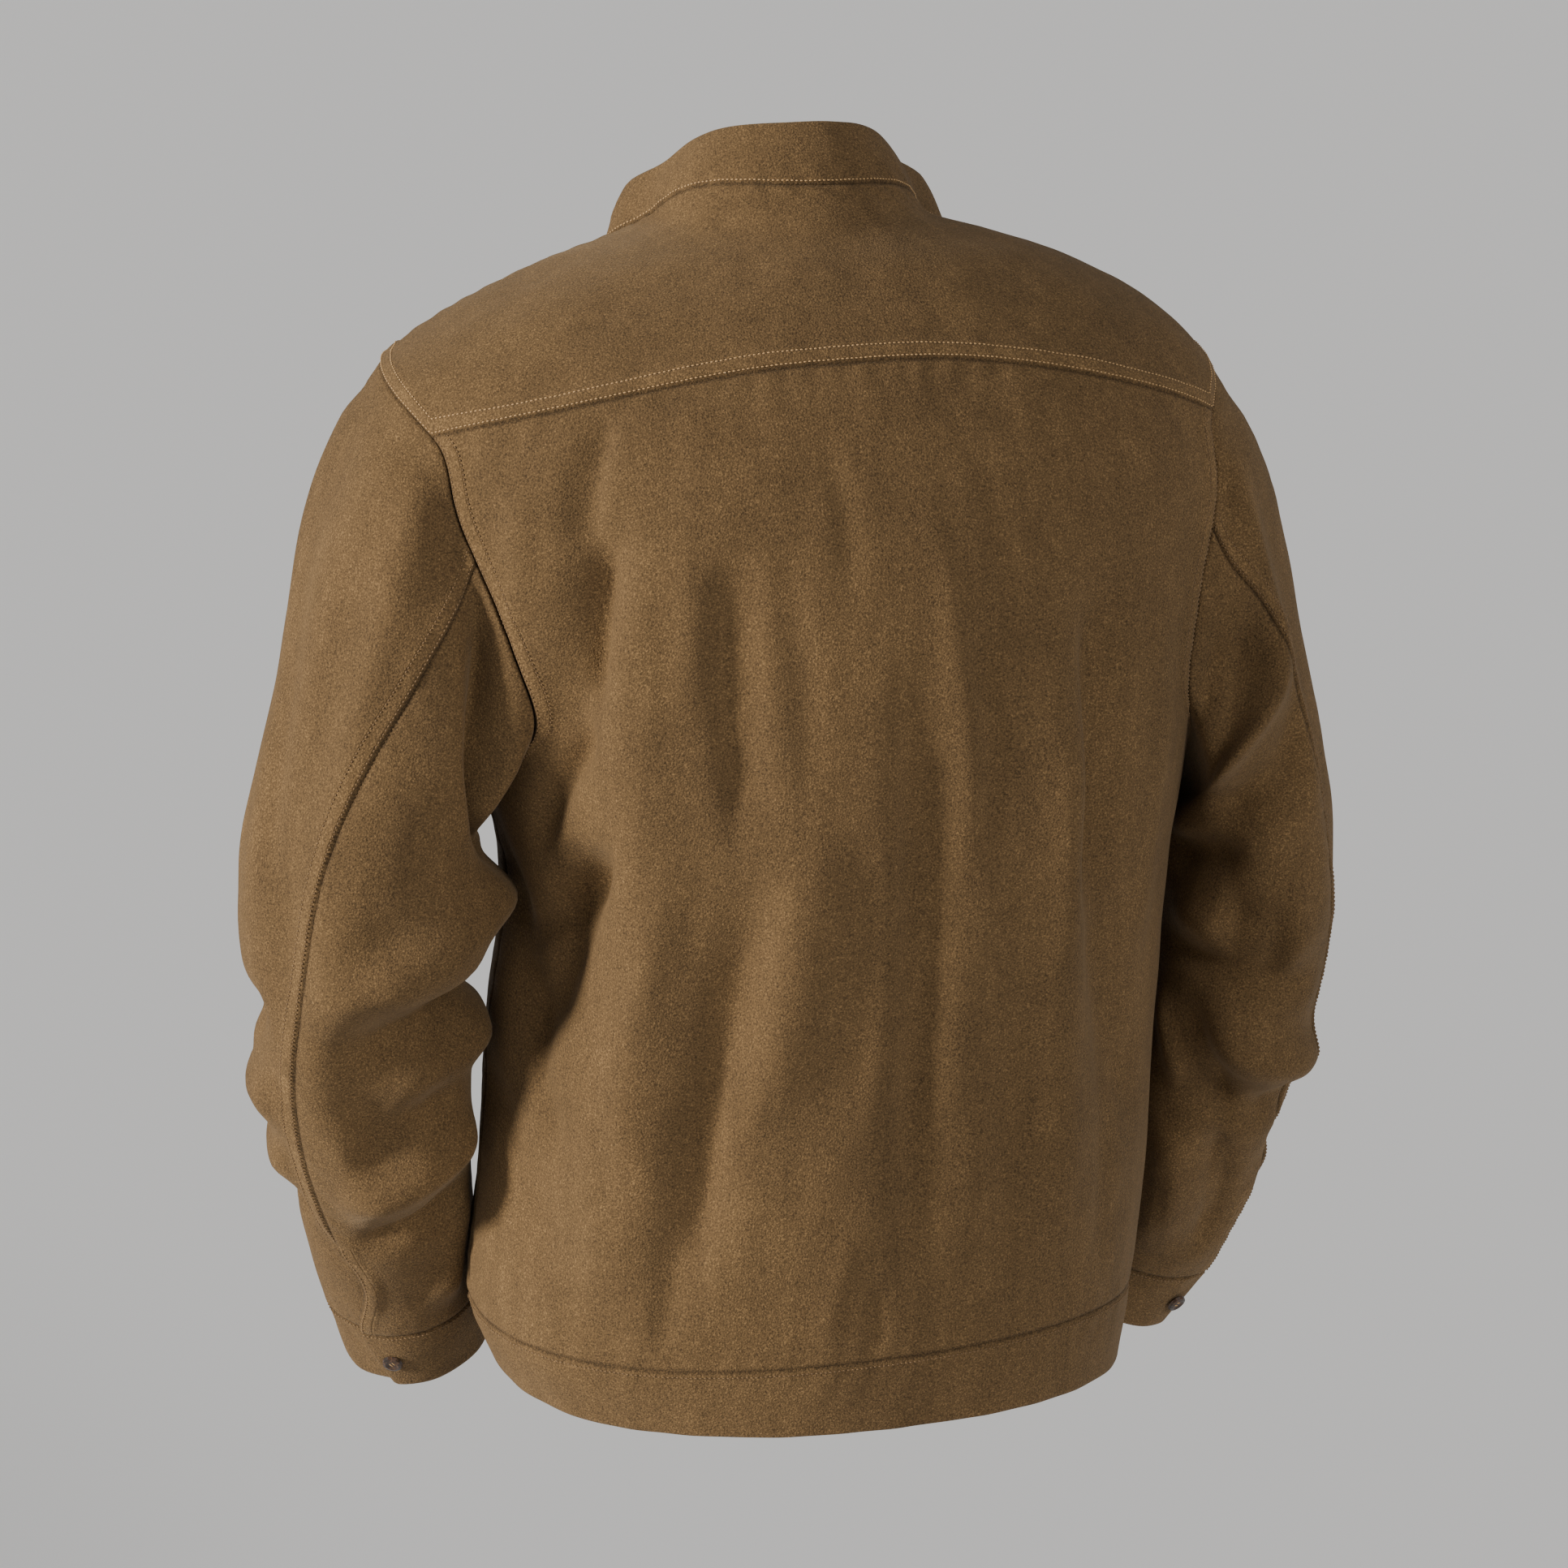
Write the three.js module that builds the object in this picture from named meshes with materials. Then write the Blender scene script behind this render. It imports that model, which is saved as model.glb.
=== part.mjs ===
// A man's suede jacket with a stand collar, filled out as it is when worn.
// Units are millimetres. +Z is up, the front faces -Y, and +X is the wearer's left.
// The origin is at the height of the neck point, midway between the shoulders that hold the jacket up.
// Every cloth piece is a wall: its outer points come from a surface worked out from the tables below,
// and its inner points lie one cloth thickness inside them.
import * as THREE from "three";

const SUEDE = 1.6;
const DOUBLED_SUEDE = 2.8;
const SEAM_INSET = 0.2;
const COLLAR_HEIGHT = 41;
// The collar's height falls off by this share from the middle of the back to its sides.
const COLLAR_FALL = 0.2;
const COLLAR_CROWN = 2.2;
// How far the collar leans forward and narrows, for each millimetre that it rises.
const COLLAR_LEAN = 0.38;
const COLLAR_TAPER = 0.42;
const HEM_SEAM_Z = -604;
const HEM_BAND_DEPTH = 42;
const FRONT_BUTTON_RADIUS = 8.5;
const CUFF_BUTTON_RADIUS = 6;
const BUTTON_THICKNESS = 3.2;
const BUTTON_GAP = 0.45;
// The left front laps over the right one by twice this turn about the body's axis, in degrees.
const FRONT_LAP = 6;
const LAP_STEP = 3.4;
// Degrees of turn, and of a sleeve's round, as millimetres of cloth, for the tables of folds.
const BODY_MM_PER_DEGREE = 2.9;
const SLEEVE_MM_PER_DEGREE = 1.15;

const SUEDE_COLOR = 0x6f5031;
const suede = new THREE.MeshStandardMaterial({ color: SUEDE_COLOR, roughness: 0.95, metalness: 0 });
const horn = new THREE.MeshStandardMaterial({ color: 0x2b1d14, roughness: 0.45, metalness: 0 });

// How much lower the cloth hangs at the left of the back and the right of the front, for each square
// millimetre that its place is off both axes.
const TWIST = 0.0004;

// Level rings of the body, from the hem up: half of its width, its depth behind and before the axis,
// how square it is, how far the axis sways to the left and nods to the back, and how far the ring
// leans down to the left.
const BODY_RINGS = [
  { z: -650, half: 179, back: 134, front: 110, square: 2.2, sway: -10, nod: 0, lean: -0.035 },
  { z: -604, half: 190, back: 140, front: 118, square: 2.2, sway: -5, nod: 0, lean: -0.008 },
  { z: -530, half: 191, back: 137, front: 122, square: 2.2, sway: -11, nod: 0, lean: 0 },
  { z: -450, half: 190, back: 137, front: 128, square: 2.2, sway: -14, nod: 0, lean: 0 },
  { z: -370, half: 188, back: 141, front: 134, square: 2.2, sway: -20, nod: 0, lean: 0 },
  { z: -300, half: 197, back: 146, front: 138, square: 2.2, sway: -18, nod: 0, lean: 0 },
  { z: -255, half: 207, back: 147, front: 138, square: 2.2, sway: -14, nod: 0, lean: 0 },
  { z: -200, half: 223, back: 144, front: 134, square: 2.2, sway: -8, nod: 0, lean: 0 },
  { z: -150, half: 236, back: 137, front: 124, square: 2.15, sway: -3, nod: 0, lean: 0 },
  { z: -105, half: 237, back: 126, front: 106, square: 2.1, sway: 3, nod: -2, lean: 0 },
  { z: -77, half: 228, back: 117, front: 90, square: 2.0, sway: 5, nod: -8, lean: 0.015 },
  { z: -50, half: 194, back: 107, front: 76, square: 2.0, sway: 6, nod: -18, lean: 0.04 },
  { z: -28, half: 148, back: 96, front: 66, square: 2.0, sway: 2, nod: -28, lean: 0.045 },
  { z: -10, half: 92, back: 82, front: 56, square: 2.0, sway: 2, nod: -36, lean: 0.035 },
  { z: -2, half: 76, back: 76, front: 53, square: 2.0, sway: 4.5, nod: -37.5, lean: 0.027 },
  { z: 20, half: 66, back: 60, front: 46, square: 2.0, sway: 7, nod: -40, lean: 0 },
];

// The armhole's seam line on the body, by round: 0 is its back, 90 the underarm and -90 the shoulder point.
const ARMHOLE = [
  { round: -180, turn: 119, z: -190 },
  { round: -135, turn: 111, z: -125 },
  { round: -90, turn: 95, z: -77 },
  { round: -50, turn: 75, z: -108 },
  { round: -20, turn: 71.5, z: -150 },
  { round: 15, turn: 67, z: -212 },
  { round: 50, turn: 69, z: -268 },
  { round: 90, turn: 91, z: -298 },
  { round: 135, turn: 114, z: -262 },
  { round: 180, turn: 119, z: -190 },
];
const YOKE_ROUND = -50;
const SHOULDER_ROUND = -90;
const UNDERARM_ROUND = 90;
const BACK_SEAM_ROUND = -8;
const FRONT_SEAM_ROUND = 138;
const YOKE_CENTRE_Z = -70;
const NECK = { side: -2, back: 16, front: -66, shoulderTurn: 97 };

// Rings down each sleeve from the armhole: centre, with x away from the body, half of the width and
// half of the depth, and the round at which its back seam and its front seam lie.
const LEFT_SLEEVE_RINGS = [
  { down: 0, x: 207, y: 3, z: -188, wide: 60, deep: 82, backSeam: -8, frontSeam: 138 },
  { down: 80, x: 232, y: 8, z: -262, wide: 64, deep: 76, backSeam: -12, frontSeam: 132 },
  { down: 155, x: 246, y: 14, z: -335, wide: 66, deep: 70, backSeam: -26, frontSeam: 128 },
  { down: 222, x: 247, y: 15, z: -400, wide: 65, deep: 66, backSeam: -40, frontSeam: 124 },
  { down: 295, x: 242, y: -3, z: -470, wide: 57, deep: 60, backSeam: -50, frontSeam: 120 },
  { down: 382, x: 227, y: -42, z: -545, wide: 51, deep: 54, backSeam: -40, frontSeam: 118 },
  { down: 418, x: 220, y: -58, z: -577, wide: 49, deep: 51, backSeam: -30, frontSeam: 118 },
  { down: 457, x: 210, y: -74, z: -611, wide: 47, deep: 49, backSeam: -44, frontSeam: 118 },
  { down: 500, x: 199, y: -93, z: -650, wide: 44, deep: 45, backSeam: -28, frontSeam: 118 },
];
const RIGHT_SLEEVE_RINGS = [
  { down: 0, x: 207, y: 3, z: -188, wide: 60, deep: 82, backSeam: -8, frontSeam: 138 },
  { down: 80, x: 238, y: 8, z: -262, wide: 55, deep: 78, backSeam: -22, frontSeam: 132 },
  { down: 155, x: 257, y: 14, z: -335, wide: 48, deep: 74, backSeam: -40, frontSeam: 128 },
  { down: 222, x: 259, y: 12, z: -400, wide: 46, deep: 71, backSeam: -50, frontSeam: 124 },
  { down: 290, x: 254, y: -6, z: -465, wide: 47, deep: 64, backSeam: -50, frontSeam: 120 },
  { down: 340, x: 250, y: -26, z: -510, wide: 49, deep: 59, backSeam: -48, frontSeam: 119 },
  { down: 383, x: 249, y: -44, z: -548, wide: 51, deep: 55, backSeam: -44, frontSeam: 118 },
  { down: 418, x: 245, y: -59, z: -578, wide: 51, deep: 51, backSeam: -44, frontSeam: 118 },
  { down: 457, x: 240, y: -76, z: -611, wide: 49, deep: 47, backSeam: -44, frontSeam: 118 },
  { down: 500, x: 228, y: -94, z: -650, wide: 45, deep: 43, backSeam: -34, frontSeam: 118 },
];
const CUFF_START = 457;
const CUFF_END = 500;
// Above the cuff the back seam opens into a vent. The upper sleeve's edge, and the end of the cuff
// below it, go under the under sleeve by a lap that eases in over a short way.
const VENT_START = 385;
const VENT_OPENING = 1.6;
const VENT_LAP_START = 390;
const VENT_EASE = 30;
const CUFF_LAP = 11;
// A lapped end goes down by LAP_STEP between these two rounds before the seam. A sleeve is thinner
// than a cuff, so it needs only a share of the step.
const LAP_SLOPE = { start: 38, end: 4 };
const SLEEVE_LAP_SHARE = 0.8;
const SLEEVE_BLEND = 170;
// A sleeve that meets the body's side lies this far off it, and eases away from it over the softness.
const SLEEVE_CLEARANCE = 1.6;
const SLEEVE_SOFTNESS = 2;
const CLEAR_BY = 12;
const FOLDS_BY = 30;
// Below this distance down, a sleeve's columns are spread evenly between its two seams.
const EVEN_BY = 60;

// Soft troughs (height below 0) and ridges of the body. across is turn in millimetres of cloth,
// positive on the wearer's left, and a fold runs from one end to the other with a sideways bow.
const BODY_FOLDS = [
  { across0: 146, z0: -122, across1: 196, z1: -298, bow: 9, width: 14, height: -8.5 },
  { across0: 168, z0: -308, across1: 212, z1: -448, bow: -4, width: 14, height: -10 },
  { across0: 129, z0: -132, across1: 138, z1: -590, bow: -15, width: 20, height: 8 },
  { across0: 86, z0: -138, across1: 92, z1: -330, bow: -2, width: 13, height: -5 },
  { across0: 88, z0: -318, across1: 120, z1: -588, bow: -6, width: 18, height: -8 },
  { across0: 58, z0: -298, across1: 74, z1: -482, bow: 0, width: 20, height: 5 },
  { across0: -12, z0: -200, across1: -34, z1: -578, bow: -8, width: 17, height: -6 },
  { across0: -92, z0: -195, across1: -139, z1: -596, bow: -9, width: 18, height: 6 },
  { across0: -126, z0: -168, across1: -126, z1: -390, bow: 0, width: 15, height: -9 },
  { across0: -126, z0: -342, across1: -190, z1: -508, bow: -6, width: 16, height: -7 },
  { across0: 265, z0: -330, across1: 215, z1: -470, bow: 10, width: 20, height: -6 },
  { across0: 262, z0: -455, across1: 190, z1: -575, bow: 12, width: 20, height: -5 },
  { across0: 395, z0: -170, across1: 330, z1: -330, bow: 14, width: 20, height: -5 },
  { across0: 455, z0: -300, across1: 380, z1: -520, bow: 12, width: 22, height: -5 },
  { across0: -390, z0: -180, across1: -325, z1: -340, bow: -14, width: 20, height: -5 },
  { across0: -450, z0: -320, across1: -385, z1: -540, bow: -12, width: 22, height: -5 },
];

// Folds of the sleeves, by round in millimetres of cloth and by the distance down the sleeve. The
// first of each is the fullness of the sleeve's head.
const LEFT_SLEEVE_FOLDS = [
  { across0: -205, down0: 52, across1: 10, down1: 52, bow: 0, width: 48, height: 11 },
  { across0: -60, down0: 10, across1: -62, down1: 270, bow: 6, width: 18, height: -5 },
  { across0: 205, down0: 178, across1: -20, down1: 208, bow: -8, width: 19, height: 13 },
  { across0: 152, down0: 236, across1: -45, down1: 252, bow: -5, width: 15, height: -17 },
  { across0: 200, down0: 272, across1: -30, down1: 278, bow: -6, width: 13, height: 9 },
  { across0: 70, down0: 288, across1: -30, down1: 308, bow: 0, width: 17, height: -9 },
  { across0: 95, down0: 325, across1: -45, down1: 345, bow: -10, width: 14, height: 9 },
  { across0: 80, down0: 362, across1: -40, down1: 380, bow: -8, width: 12, height: -7 },
  { across0: 70, down0: 355, across1: 10, down1: 445, bow: 12, width: 15, height: 7 },
  { across0: -70, down0: 238, across1: -150, down1: 250, bow: 0, width: 13, height: -7 },
  { across0: -62, down0: 288, across1: -150, down1: 295, bow: 0, width: 14, height: 7 },
  { across0: -62, down0: 330, across1: -150, down1: 340, bow: 0, width: 13, height: 6 },
  { across0: -62, down0: 362, across1: -150, down1: 370, bow: 0, width: 12, height: -7 },
];
const RIGHT_SLEEVE_FOLDS = [
  { across0: -205, down0: 48, across1: 10, down1: 48, bow: 0, width: 40, height: 7 },
  { across0: -62, down0: 10, across1: -64, down1: 210, bow: 8, width: 18, height: -5 },
  { across0: 70, down0: 92, across1: -45, down1: 72, bow: 8, width: 14, height: 8 },
  { across0: 70, down0: 124, across1: -40, down1: 112, bow: 10, width: 17, height: -10 },
  { across0: 60, down0: 205, across1: -10, down1: 215, bow: 0, width: 17, height: -8 },
  { across0: 70, down0: 255, across1: -95, down1: 285, bow: 6, width: 14, height: 10 },
  { across0: 60, down0: 290, across1: -70, down1: 312, bow: 6, width: 14, height: -9 },
  { across0: 20, down0: 310, across1: -15, down1: 440, bow: -10, width: 14, height: -7 },
  { across0: 50, down0: 320, across1: 30, down1: 440, bow: -8, width: 14, height: 6 },
  { across0: -50, down0: 335, across1: -120, down1: 380, bow: 0, width: 14, height: -7 },
];

const radians = THREE.MathUtils.degToRad;
const mix = THREE.MathUtils.lerp;
const smooth = THREE.MathUtils.smoothstep;

// A smooth curve through one column of a table, as a function of another column.
function column(rows, along, name) {
  const at = rows.map((row) => row[along]);
  const value = rows.map((row) => row[name]);
  const last = rows.length - 1;
  const slope = value.map((_, i) => {
    const before = Math.max(i - 1, 0);
    const after = Math.min(i + 1, last);
    return (value[after] - value[before]) / (at[after] - at[before]);
  });
  return (x) => {
    if (x <= at[0]) return value[0] + (x - at[0]) * slope[0];
    if (x >= at[last]) return value[last] + (x - at[last]) * slope[last];
    let i = 0;
    while (x > at[i + 1]) i += 1;
    const step = at[i + 1] - at[i];
    const t = (x - at[i]) / step;
    const rise = t * t * (3 - 2 * t);
    const early = t * (1 - t) * (1 - t) * step * slope[i];
    const late = t * t * (t - 1) * step * slope[i + 1];
    return mix(value[i], value[i + 1], rise) + early + late;
  };
}

function columns(rows, along) {
  const made = {};
  for (const name of Object.keys(rows[0])) made[name] = column(rows, along, name);
  return made;
}

// How far the folds of a table lift the cloth at one place.
function foldHeight(folds, alongName, across, along) {
  let height = 0;
  for (const fold of folds) {
    const runAcross = fold.across1 - fold.across0;
    const runAlong = fold[alongName + "1"] - fold[alongName + "0"];
    const length = Math.hypot(runAcross, runAlong);
    const fromAcross = across - fold.across0;
    const fromAlong = along - fold[alongName + "0"];
    const share = (fromAcross * runAcross + fromAlong * runAlong) / (length * length);
    if (share <= 0 || share >= 1) continue;
    const bow = fold.bow * 4 * share * (1 - share);
    const away = (fromAcross * runAlong - fromAlong * runAcross) / length - bow;
    const fade = smooth(Math.min(share, 1 - share), 0, 0.3);
    height += fold.height * fade * Math.exp(-((away / fold.width) ** 2));
  }
  return height;
}

const bodyRing = columns(BODY_RINGS, "z");

// The right front, and the right ends of the collar and the hem band, lie one lap under the left ones.
function lapTuck(turn) {
  return LAP_STEP * smooth(-turn, 150, 170);
}

function bodyPoint(turn, z) {
  const angle = radians(turn);
  const forward = Math.cos(angle);
  const sideways = Math.sin(angle);
  const depth = forward > 0 ? bodyRing.back(z) : bodyRing.front(z);
  const square = bodyRing.square(z);
  const inverse = Math.abs(forward / depth) ** square + Math.abs(sideways / bodyRing.half(z)) ** square;
  const fold = foldHeight(BODY_FOLDS, "z", turn * BODY_MM_PER_DEGREE, z);
  const radius = inverse ** (-1 / square) + fold - lapTuck(turn);
  const x = radius * sideways + bodyRing.sway(z);
  const y = radius * forward + bodyRing.nod(z);
  return new THREE.Vector3(x, y, z - TWIST * x * y - bodyRing.lean(z) * x);
}

// The outward normal of a surface, where out is a point that lies outside it in that direction.
function normalOf(surface, a, b, inside) {
  const STEP = 0.4;
  const alongA = surface(a + STEP, b).sub(surface(a - STEP, b));
  const alongB = surface(a, b + STEP).sub(surface(a, b - STEP));
  const normal = alongA.cross(alongB).normalize();
  if (normal.dot(surface(a, b).sub(inside)) < 0) normal.negate();
  return normal;
}

function bodyNormal(turn, z) {
  return normalOf(bodyPoint, turn, z, new THREE.Vector3(0, 0, Math.min(z, -140) - 30));
}

const armholeTurn = column(ARMHOLE, "round", "turn");
const armholeZ = column(ARMHOLE, "round", "z");

function neckZ(turn) {
  const forward = Math.cos(radians(turn));
  const slope = (NECK.back - NECK.front) / 2;
  const dip = NECK.side - (NECK.back + NECK.front) / 2;
  return NECK.side + slope * forward - dip * forward * forward;
}

function yokeZ(turn) {
  const share = turn / armholeTurn(YOKE_ROUND);
  return mix(YOKE_CENTRE_Z, armholeZ(YOKE_ROUND), Math.abs(share) ** 2.8);
}

// The collar stands on the neck seam, and rise goes from 0 there to 1 at its edge.
function collarPoint(turn, rise) {
  const angle = radians(turn);
  const base = bodyPoint(turn, neckZ(turn));
  const inward = new THREE.Vector3(-COLLAR_TAPER * Math.sin(angle), -COLLAR_TAPER * Math.cos(angle), 0);
  const direction = new THREE.Vector3(0, -COLLAR_LEAN, 1).add(inward);
  const crown = COLLAR_CROWN * Math.sin(Math.PI * rise);
  const height = COLLAR_HEIGHT * (1 - COLLAR_FALL * Math.sin(angle) ** 2);
  base.addScaledVector(direction.normalize(), height * rise);
  base.x += crown * Math.sin(angle);
  base.y += crown * Math.cos(angle);
  return base;
}

function collarNormal(turn, rise) {
  const inside = new THREE.Vector3(0, -10, collarPoint(turn, rise).z);
  return normalOf((a, b) => collarPoint(a, b / COLLAR_HEIGHT), turn, rise * COLLAR_HEIGHT, inside);
}

function neckNormal(turn) {
  return bodyNormal(turn, neckZ(turn)).add(collarNormal(turn, 0.1)).normalize();
}

const LEFT = {
  side: 1,
  name: "left",
  ring: columns(LEFT_SLEEVE_RINGS, "down"),
  folds: LEFT_SLEEVE_FOLDS,
};
const RIGHT = {
  side: -1,
  name: "right",
  ring: columns(RIGHT_SLEEVE_RINGS, "down"),
  folds: RIGHT_SLEEVE_FOLDS,
};

function sleeveCentre(arm, down) {
  return new THREE.Vector3(arm.side * arm.ring.x(down), arm.ring.y(down), arm.ring.z(down));
}

function wrapRound(round) {
  return THREE.MathUtils.euclideanModulo(round + 180, 360) - 180;
}

// The place on the body that lies level with a point and straight in or out from it.
function placeOf(point) {
  const z = point.z + TWIST * point.x * point.y + bodyRing.lean(point.z) * point.x;
  const x = point.x - bodyRing.sway(z);
  const y = point.y - bodyRing.nod(z);
  return { turn: THREE.MathUtils.radToDeg(Math.atan2(x, y)), z, radius: Math.hypot(x, y) };
}

// Moves a sleeve's point out to where it is clear of the body.
function clearOfBody(point) {
  const { turn, z, radius } = placeOf(point);
  const off = radius - placeOf(bodyPoint(turn, z)).radius - SLEEVE_CLEARANCE;
  const push = SLEEVE_SOFTNESS * Math.log1p(Math.exp(-off / SLEEVE_SOFTNESS));
  point.x += push * Math.sin(radians(turn));
  point.y += push * Math.cos(radians(turn));
  return point;
}

// A point of a sleeve. round is 90 on the inner side, next to the body, and 0 at the back.
function sleevePoint(arm, round, down) {
  const around = wrapRound(round);
  const angle = radians(around);
  const centre = sleeveCentre(arm, down);
  const tangent = sleeveCentre(arm, down + 2).sub(sleeveCentre(arm, down - 2)).normalize();
  const inner = new THREE.Vector3(-arm.side, 0, 0).addScaledVector(tangent, arm.side * tangent.x).normalize();
  const back = tangent.clone().cross(inner).multiplyScalar(arm.side);
  const fold = foldHeight(arm.folds, "down", around * SLEEVE_MM_PER_DEGREE, down);
  const tube = centre.clone();
  tube.addScaledVector(inner, arm.ring.wide(down) * Math.sin(angle));
  tube.addScaledVector(back, arm.ring.deep(down) * Math.cos(angle));
  const seam = bodyPoint(arm.side * armholeTurn(around), armholeZ(around));
  seam.add(centre).sub(sleeveCentre(arm, 0));
  const point = seam.lerp(tube, smooth(down, 0, SLEEVE_BLEND));
  const lift = fold * smooth(down, 0, FOLDS_BY);
  point.addScaledVector(inner, lift * Math.sin(angle)).addScaledVector(back, lift * Math.cos(angle));
  return point.lerp(clearOfBody(point.clone()), smooth(down, 0, CLEAR_BY));
}

function sleeveNormal(arm, round, down) {
  return normalOf((a, b) => sleevePoint(arm, a, b), round, down, sleeveCentre(arm, down));
}

function armholeNormal(side, round) {
  const onBody = bodyNormal(side * armholeTurn(wrapRound(round)), armholeZ(wrapRound(round)));
  return onBody.add(sleeveNormal(side > 0 ? LEFT : RIGHT, round, 3)).normalize();
}

// The cells round a grid's edge, in order.
function edgeCells(rows, across) {
  const cells = [];
  for (let j = 0; j < across - 1; j += 1) cells.push([0, j]);
  for (let i = 0; i < rows - 1; i += 1) cells.push([i, across - 1]);
  for (let j = across - 1; j > 0; j -= 1) cells.push([rows - 1, j]);
  for (let i = rows - 1; i > 0; i -= 1) cells.push([i, 0]);
  return cells;
}

// The grid's outer points, with its edge drawn in by the same width all round.
function drawnIn(grid) {
  const drawn = grid.map((row) => row.map(({ point }) => point.clone()));
  const cells = edgeCells(grid.length, grid[0].length);
  const at = (k) => {
    const [i, j] = cells[THREE.MathUtils.euclideanModulo(k, cells.length)];
    return grid[i][j];
  };
  const inwards = (from, to, normal) => to.point.clone().sub(from.point).cross(normal).normalize();
  const middle = grid[1][1].point.clone().sub(grid[0][0].point);
  const hand = Math.sign(inwards(at(0), at(1), at(0).normal).dot(middle));
  cells.forEach(([i, j], k) => {
    const before = inwards(at(k - 1), at(k), at(k).normal);
    const after = inwards(at(k), at(k + 1), at(k).normal);
    const mitre = (hand * SEAM_INSET) / (1 + before.dot(after));
    drawn[i][j].add(before.add(after).multiplyScalar(mitre));
  });
  return drawn;
}

// A closed wall from a grid of outer points and their outward normals, drawn in from its seams.
function clothWall(grid, thickness) {
  const rows = grid.length;
  const across = grid[0].length;
  const outer = drawnIn(grid);
  const inside = (point, normal) => point.clone().addScaledVector(normal, -thickness);
  const inner = grid.map((row, i) => row.map(({ normal }, j) => inside(outer[i][j], normal)));
  const positions = [];
  const quad = (a, b, c, d) => {
    for (const corner of [a, b, c, a, c, d]) positions.push(corner.x, corner.y, corner.z);
  };
  for (let i = 0; i < rows - 1; i += 1) {
    for (let j = 0; j < across - 1; j += 1) {
      quad(outer[i][j], outer[i][j + 1], outer[i + 1][j + 1], outer[i + 1][j]);
      quad(inner[i][j], inner[i + 1][j], inner[i + 1][j + 1], inner[i][j + 1]);
    }
    quad(outer[i][0], outer[i + 1][0], inner[i + 1][0], inner[i][0]);
    quad(outer[i + 1][across - 1], outer[i][across - 1], inner[i][across - 1], inner[i + 1][across - 1]);
  }
  for (let j = 0; j < across - 1; j += 1) {
    quad(outer[0][j + 1], outer[0][j], inner[0][j], inner[0][j + 1]);
    quad(outer[rows - 1][j], outer[rows - 1][j + 1], inner[rows - 1][j + 1], inner[rows - 1][j]);
  }
  return facingOut(positions);
}

function facingOut(positions) {
  const corner = (i) => new THREE.Vector3().fromArray(positions, i);
  let volume = 0;
  for (let i = 0; i < positions.length; i += 9) volume += corner(i).dot(corner(i + 3).cross(corner(i + 6)));
  if (volume < 0) {
    for (let i = 0; i < positions.length; i += 9) {
      const second = positions.slice(i + 3, i + 6);
      positions.splice(i + 3, 6, ...positions.slice(i + 6, i + 9), ...second);
    }
  }
  return new THREE.BufferGeometry().setAttribute("position", new THREE.Float32BufferAttribute(positions, 3));
}

function range(count, from, to) {
  return Array.from({ length: count + 1 }, (_, i) => mix(from, to, i / count));
}

const BACK_COLUMNS = 28;
const SIDE_SEAM_ROWS = 13;
const BACK_ARMHOLE_ROWS = 10;
const YOKE_ARMHOLE_COLUMNS = 3;
const YOKE_ROWS = 6;
const FRONT_ARMHOLE_ROWS = 15;
const FRONT_NECK_COLUMNS = 8;
const FRONT_COLUMNS = YOKE_ROWS + FRONT_NECK_COLUMNS;
const SIDE_TURN = armholeTurn(UNDERARM_ROUND);

// The edge that the back and a front share with the side seam, and then with their part of the armhole.
function sideEdge(topRound, armholeRows) {
  const heights = range(SIDE_SEAM_ROWS, HEM_SEAM_Z, armholeZ(UNDERARM_ROUND));
  const seam = heights.map((z) => ({ turn: SIDE_TURN, z }));
  const hole = range(armholeRows, UNDERARM_ROUND, topRound).slice(1).map((round) => {
    const around = wrapRound(round);
    return { turn: armholeTurn(around), z: armholeZ(around), round };
  });
  seam[SIDE_SEAM_ROWS].round = UNDERARM_ROUND;
  return seam.concat(hole);
}

function bodyCell(turn, z, side, round) {
  const normal = round === undefined ? bodyNormal(turn, z) : armholeNormal(side, round);
  return { point: bodyPoint(turn, z), normal };
}

function backPanel() {
  const edge = sideEdge(YOKE_ROUND, BACK_ARMHOLE_ROWS);
  const last = edge.length - 1;
  const grid = edge.map(({ turn: edgeTurn, z: edgeZ, round }, i) => {
    const level = (turn) => mix(HEM_SEAM_Z, yokeZ(turn), i / last);
    return range(BACK_COLUMNS, -1, 1).map((u) => {
      const turn = u * edgeTurn;
      const z = level(turn) + Math.abs(u) ** 3 * (edgeZ - level(edgeTurn));
      const atEdge = Math.abs(u) === 1 ? round : undefined;
      return bodyCell(turn, z, Math.sign(u), atEdge);
    });
  });
  return clothWall(grid, SUEDE);
}

// The turns at which the yoke's columns meet its lower edge, from right to left.
function yokeColumns() {
  const rounds = range(YOKE_ARMHOLE_COLUMNS, SHOULDER_ROUND, YOKE_ROUND).slice(0, -1);
  const hole = rounds.map((round) => ({ turn: armholeTurn(round), z: armholeZ(round), round }));
  const middle = range(BACK_COLUMNS, -1, 1).map((u) => {
    const turn = u * armholeTurn(YOKE_ROUND);
    return { turn, z: yokeZ(turn), round: Math.abs(u) === 1 ? YOKE_ROUND : undefined };
  });
  const right = hole.map((cell) => ({ ...cell, turn: -cell.turn }));
  return [...right, ...middle, ...hole.reverse()];
}

const neckTurnPerTurn = NECK.shoulderTurn / armholeTurn(SHOULDER_ROUND);

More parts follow.
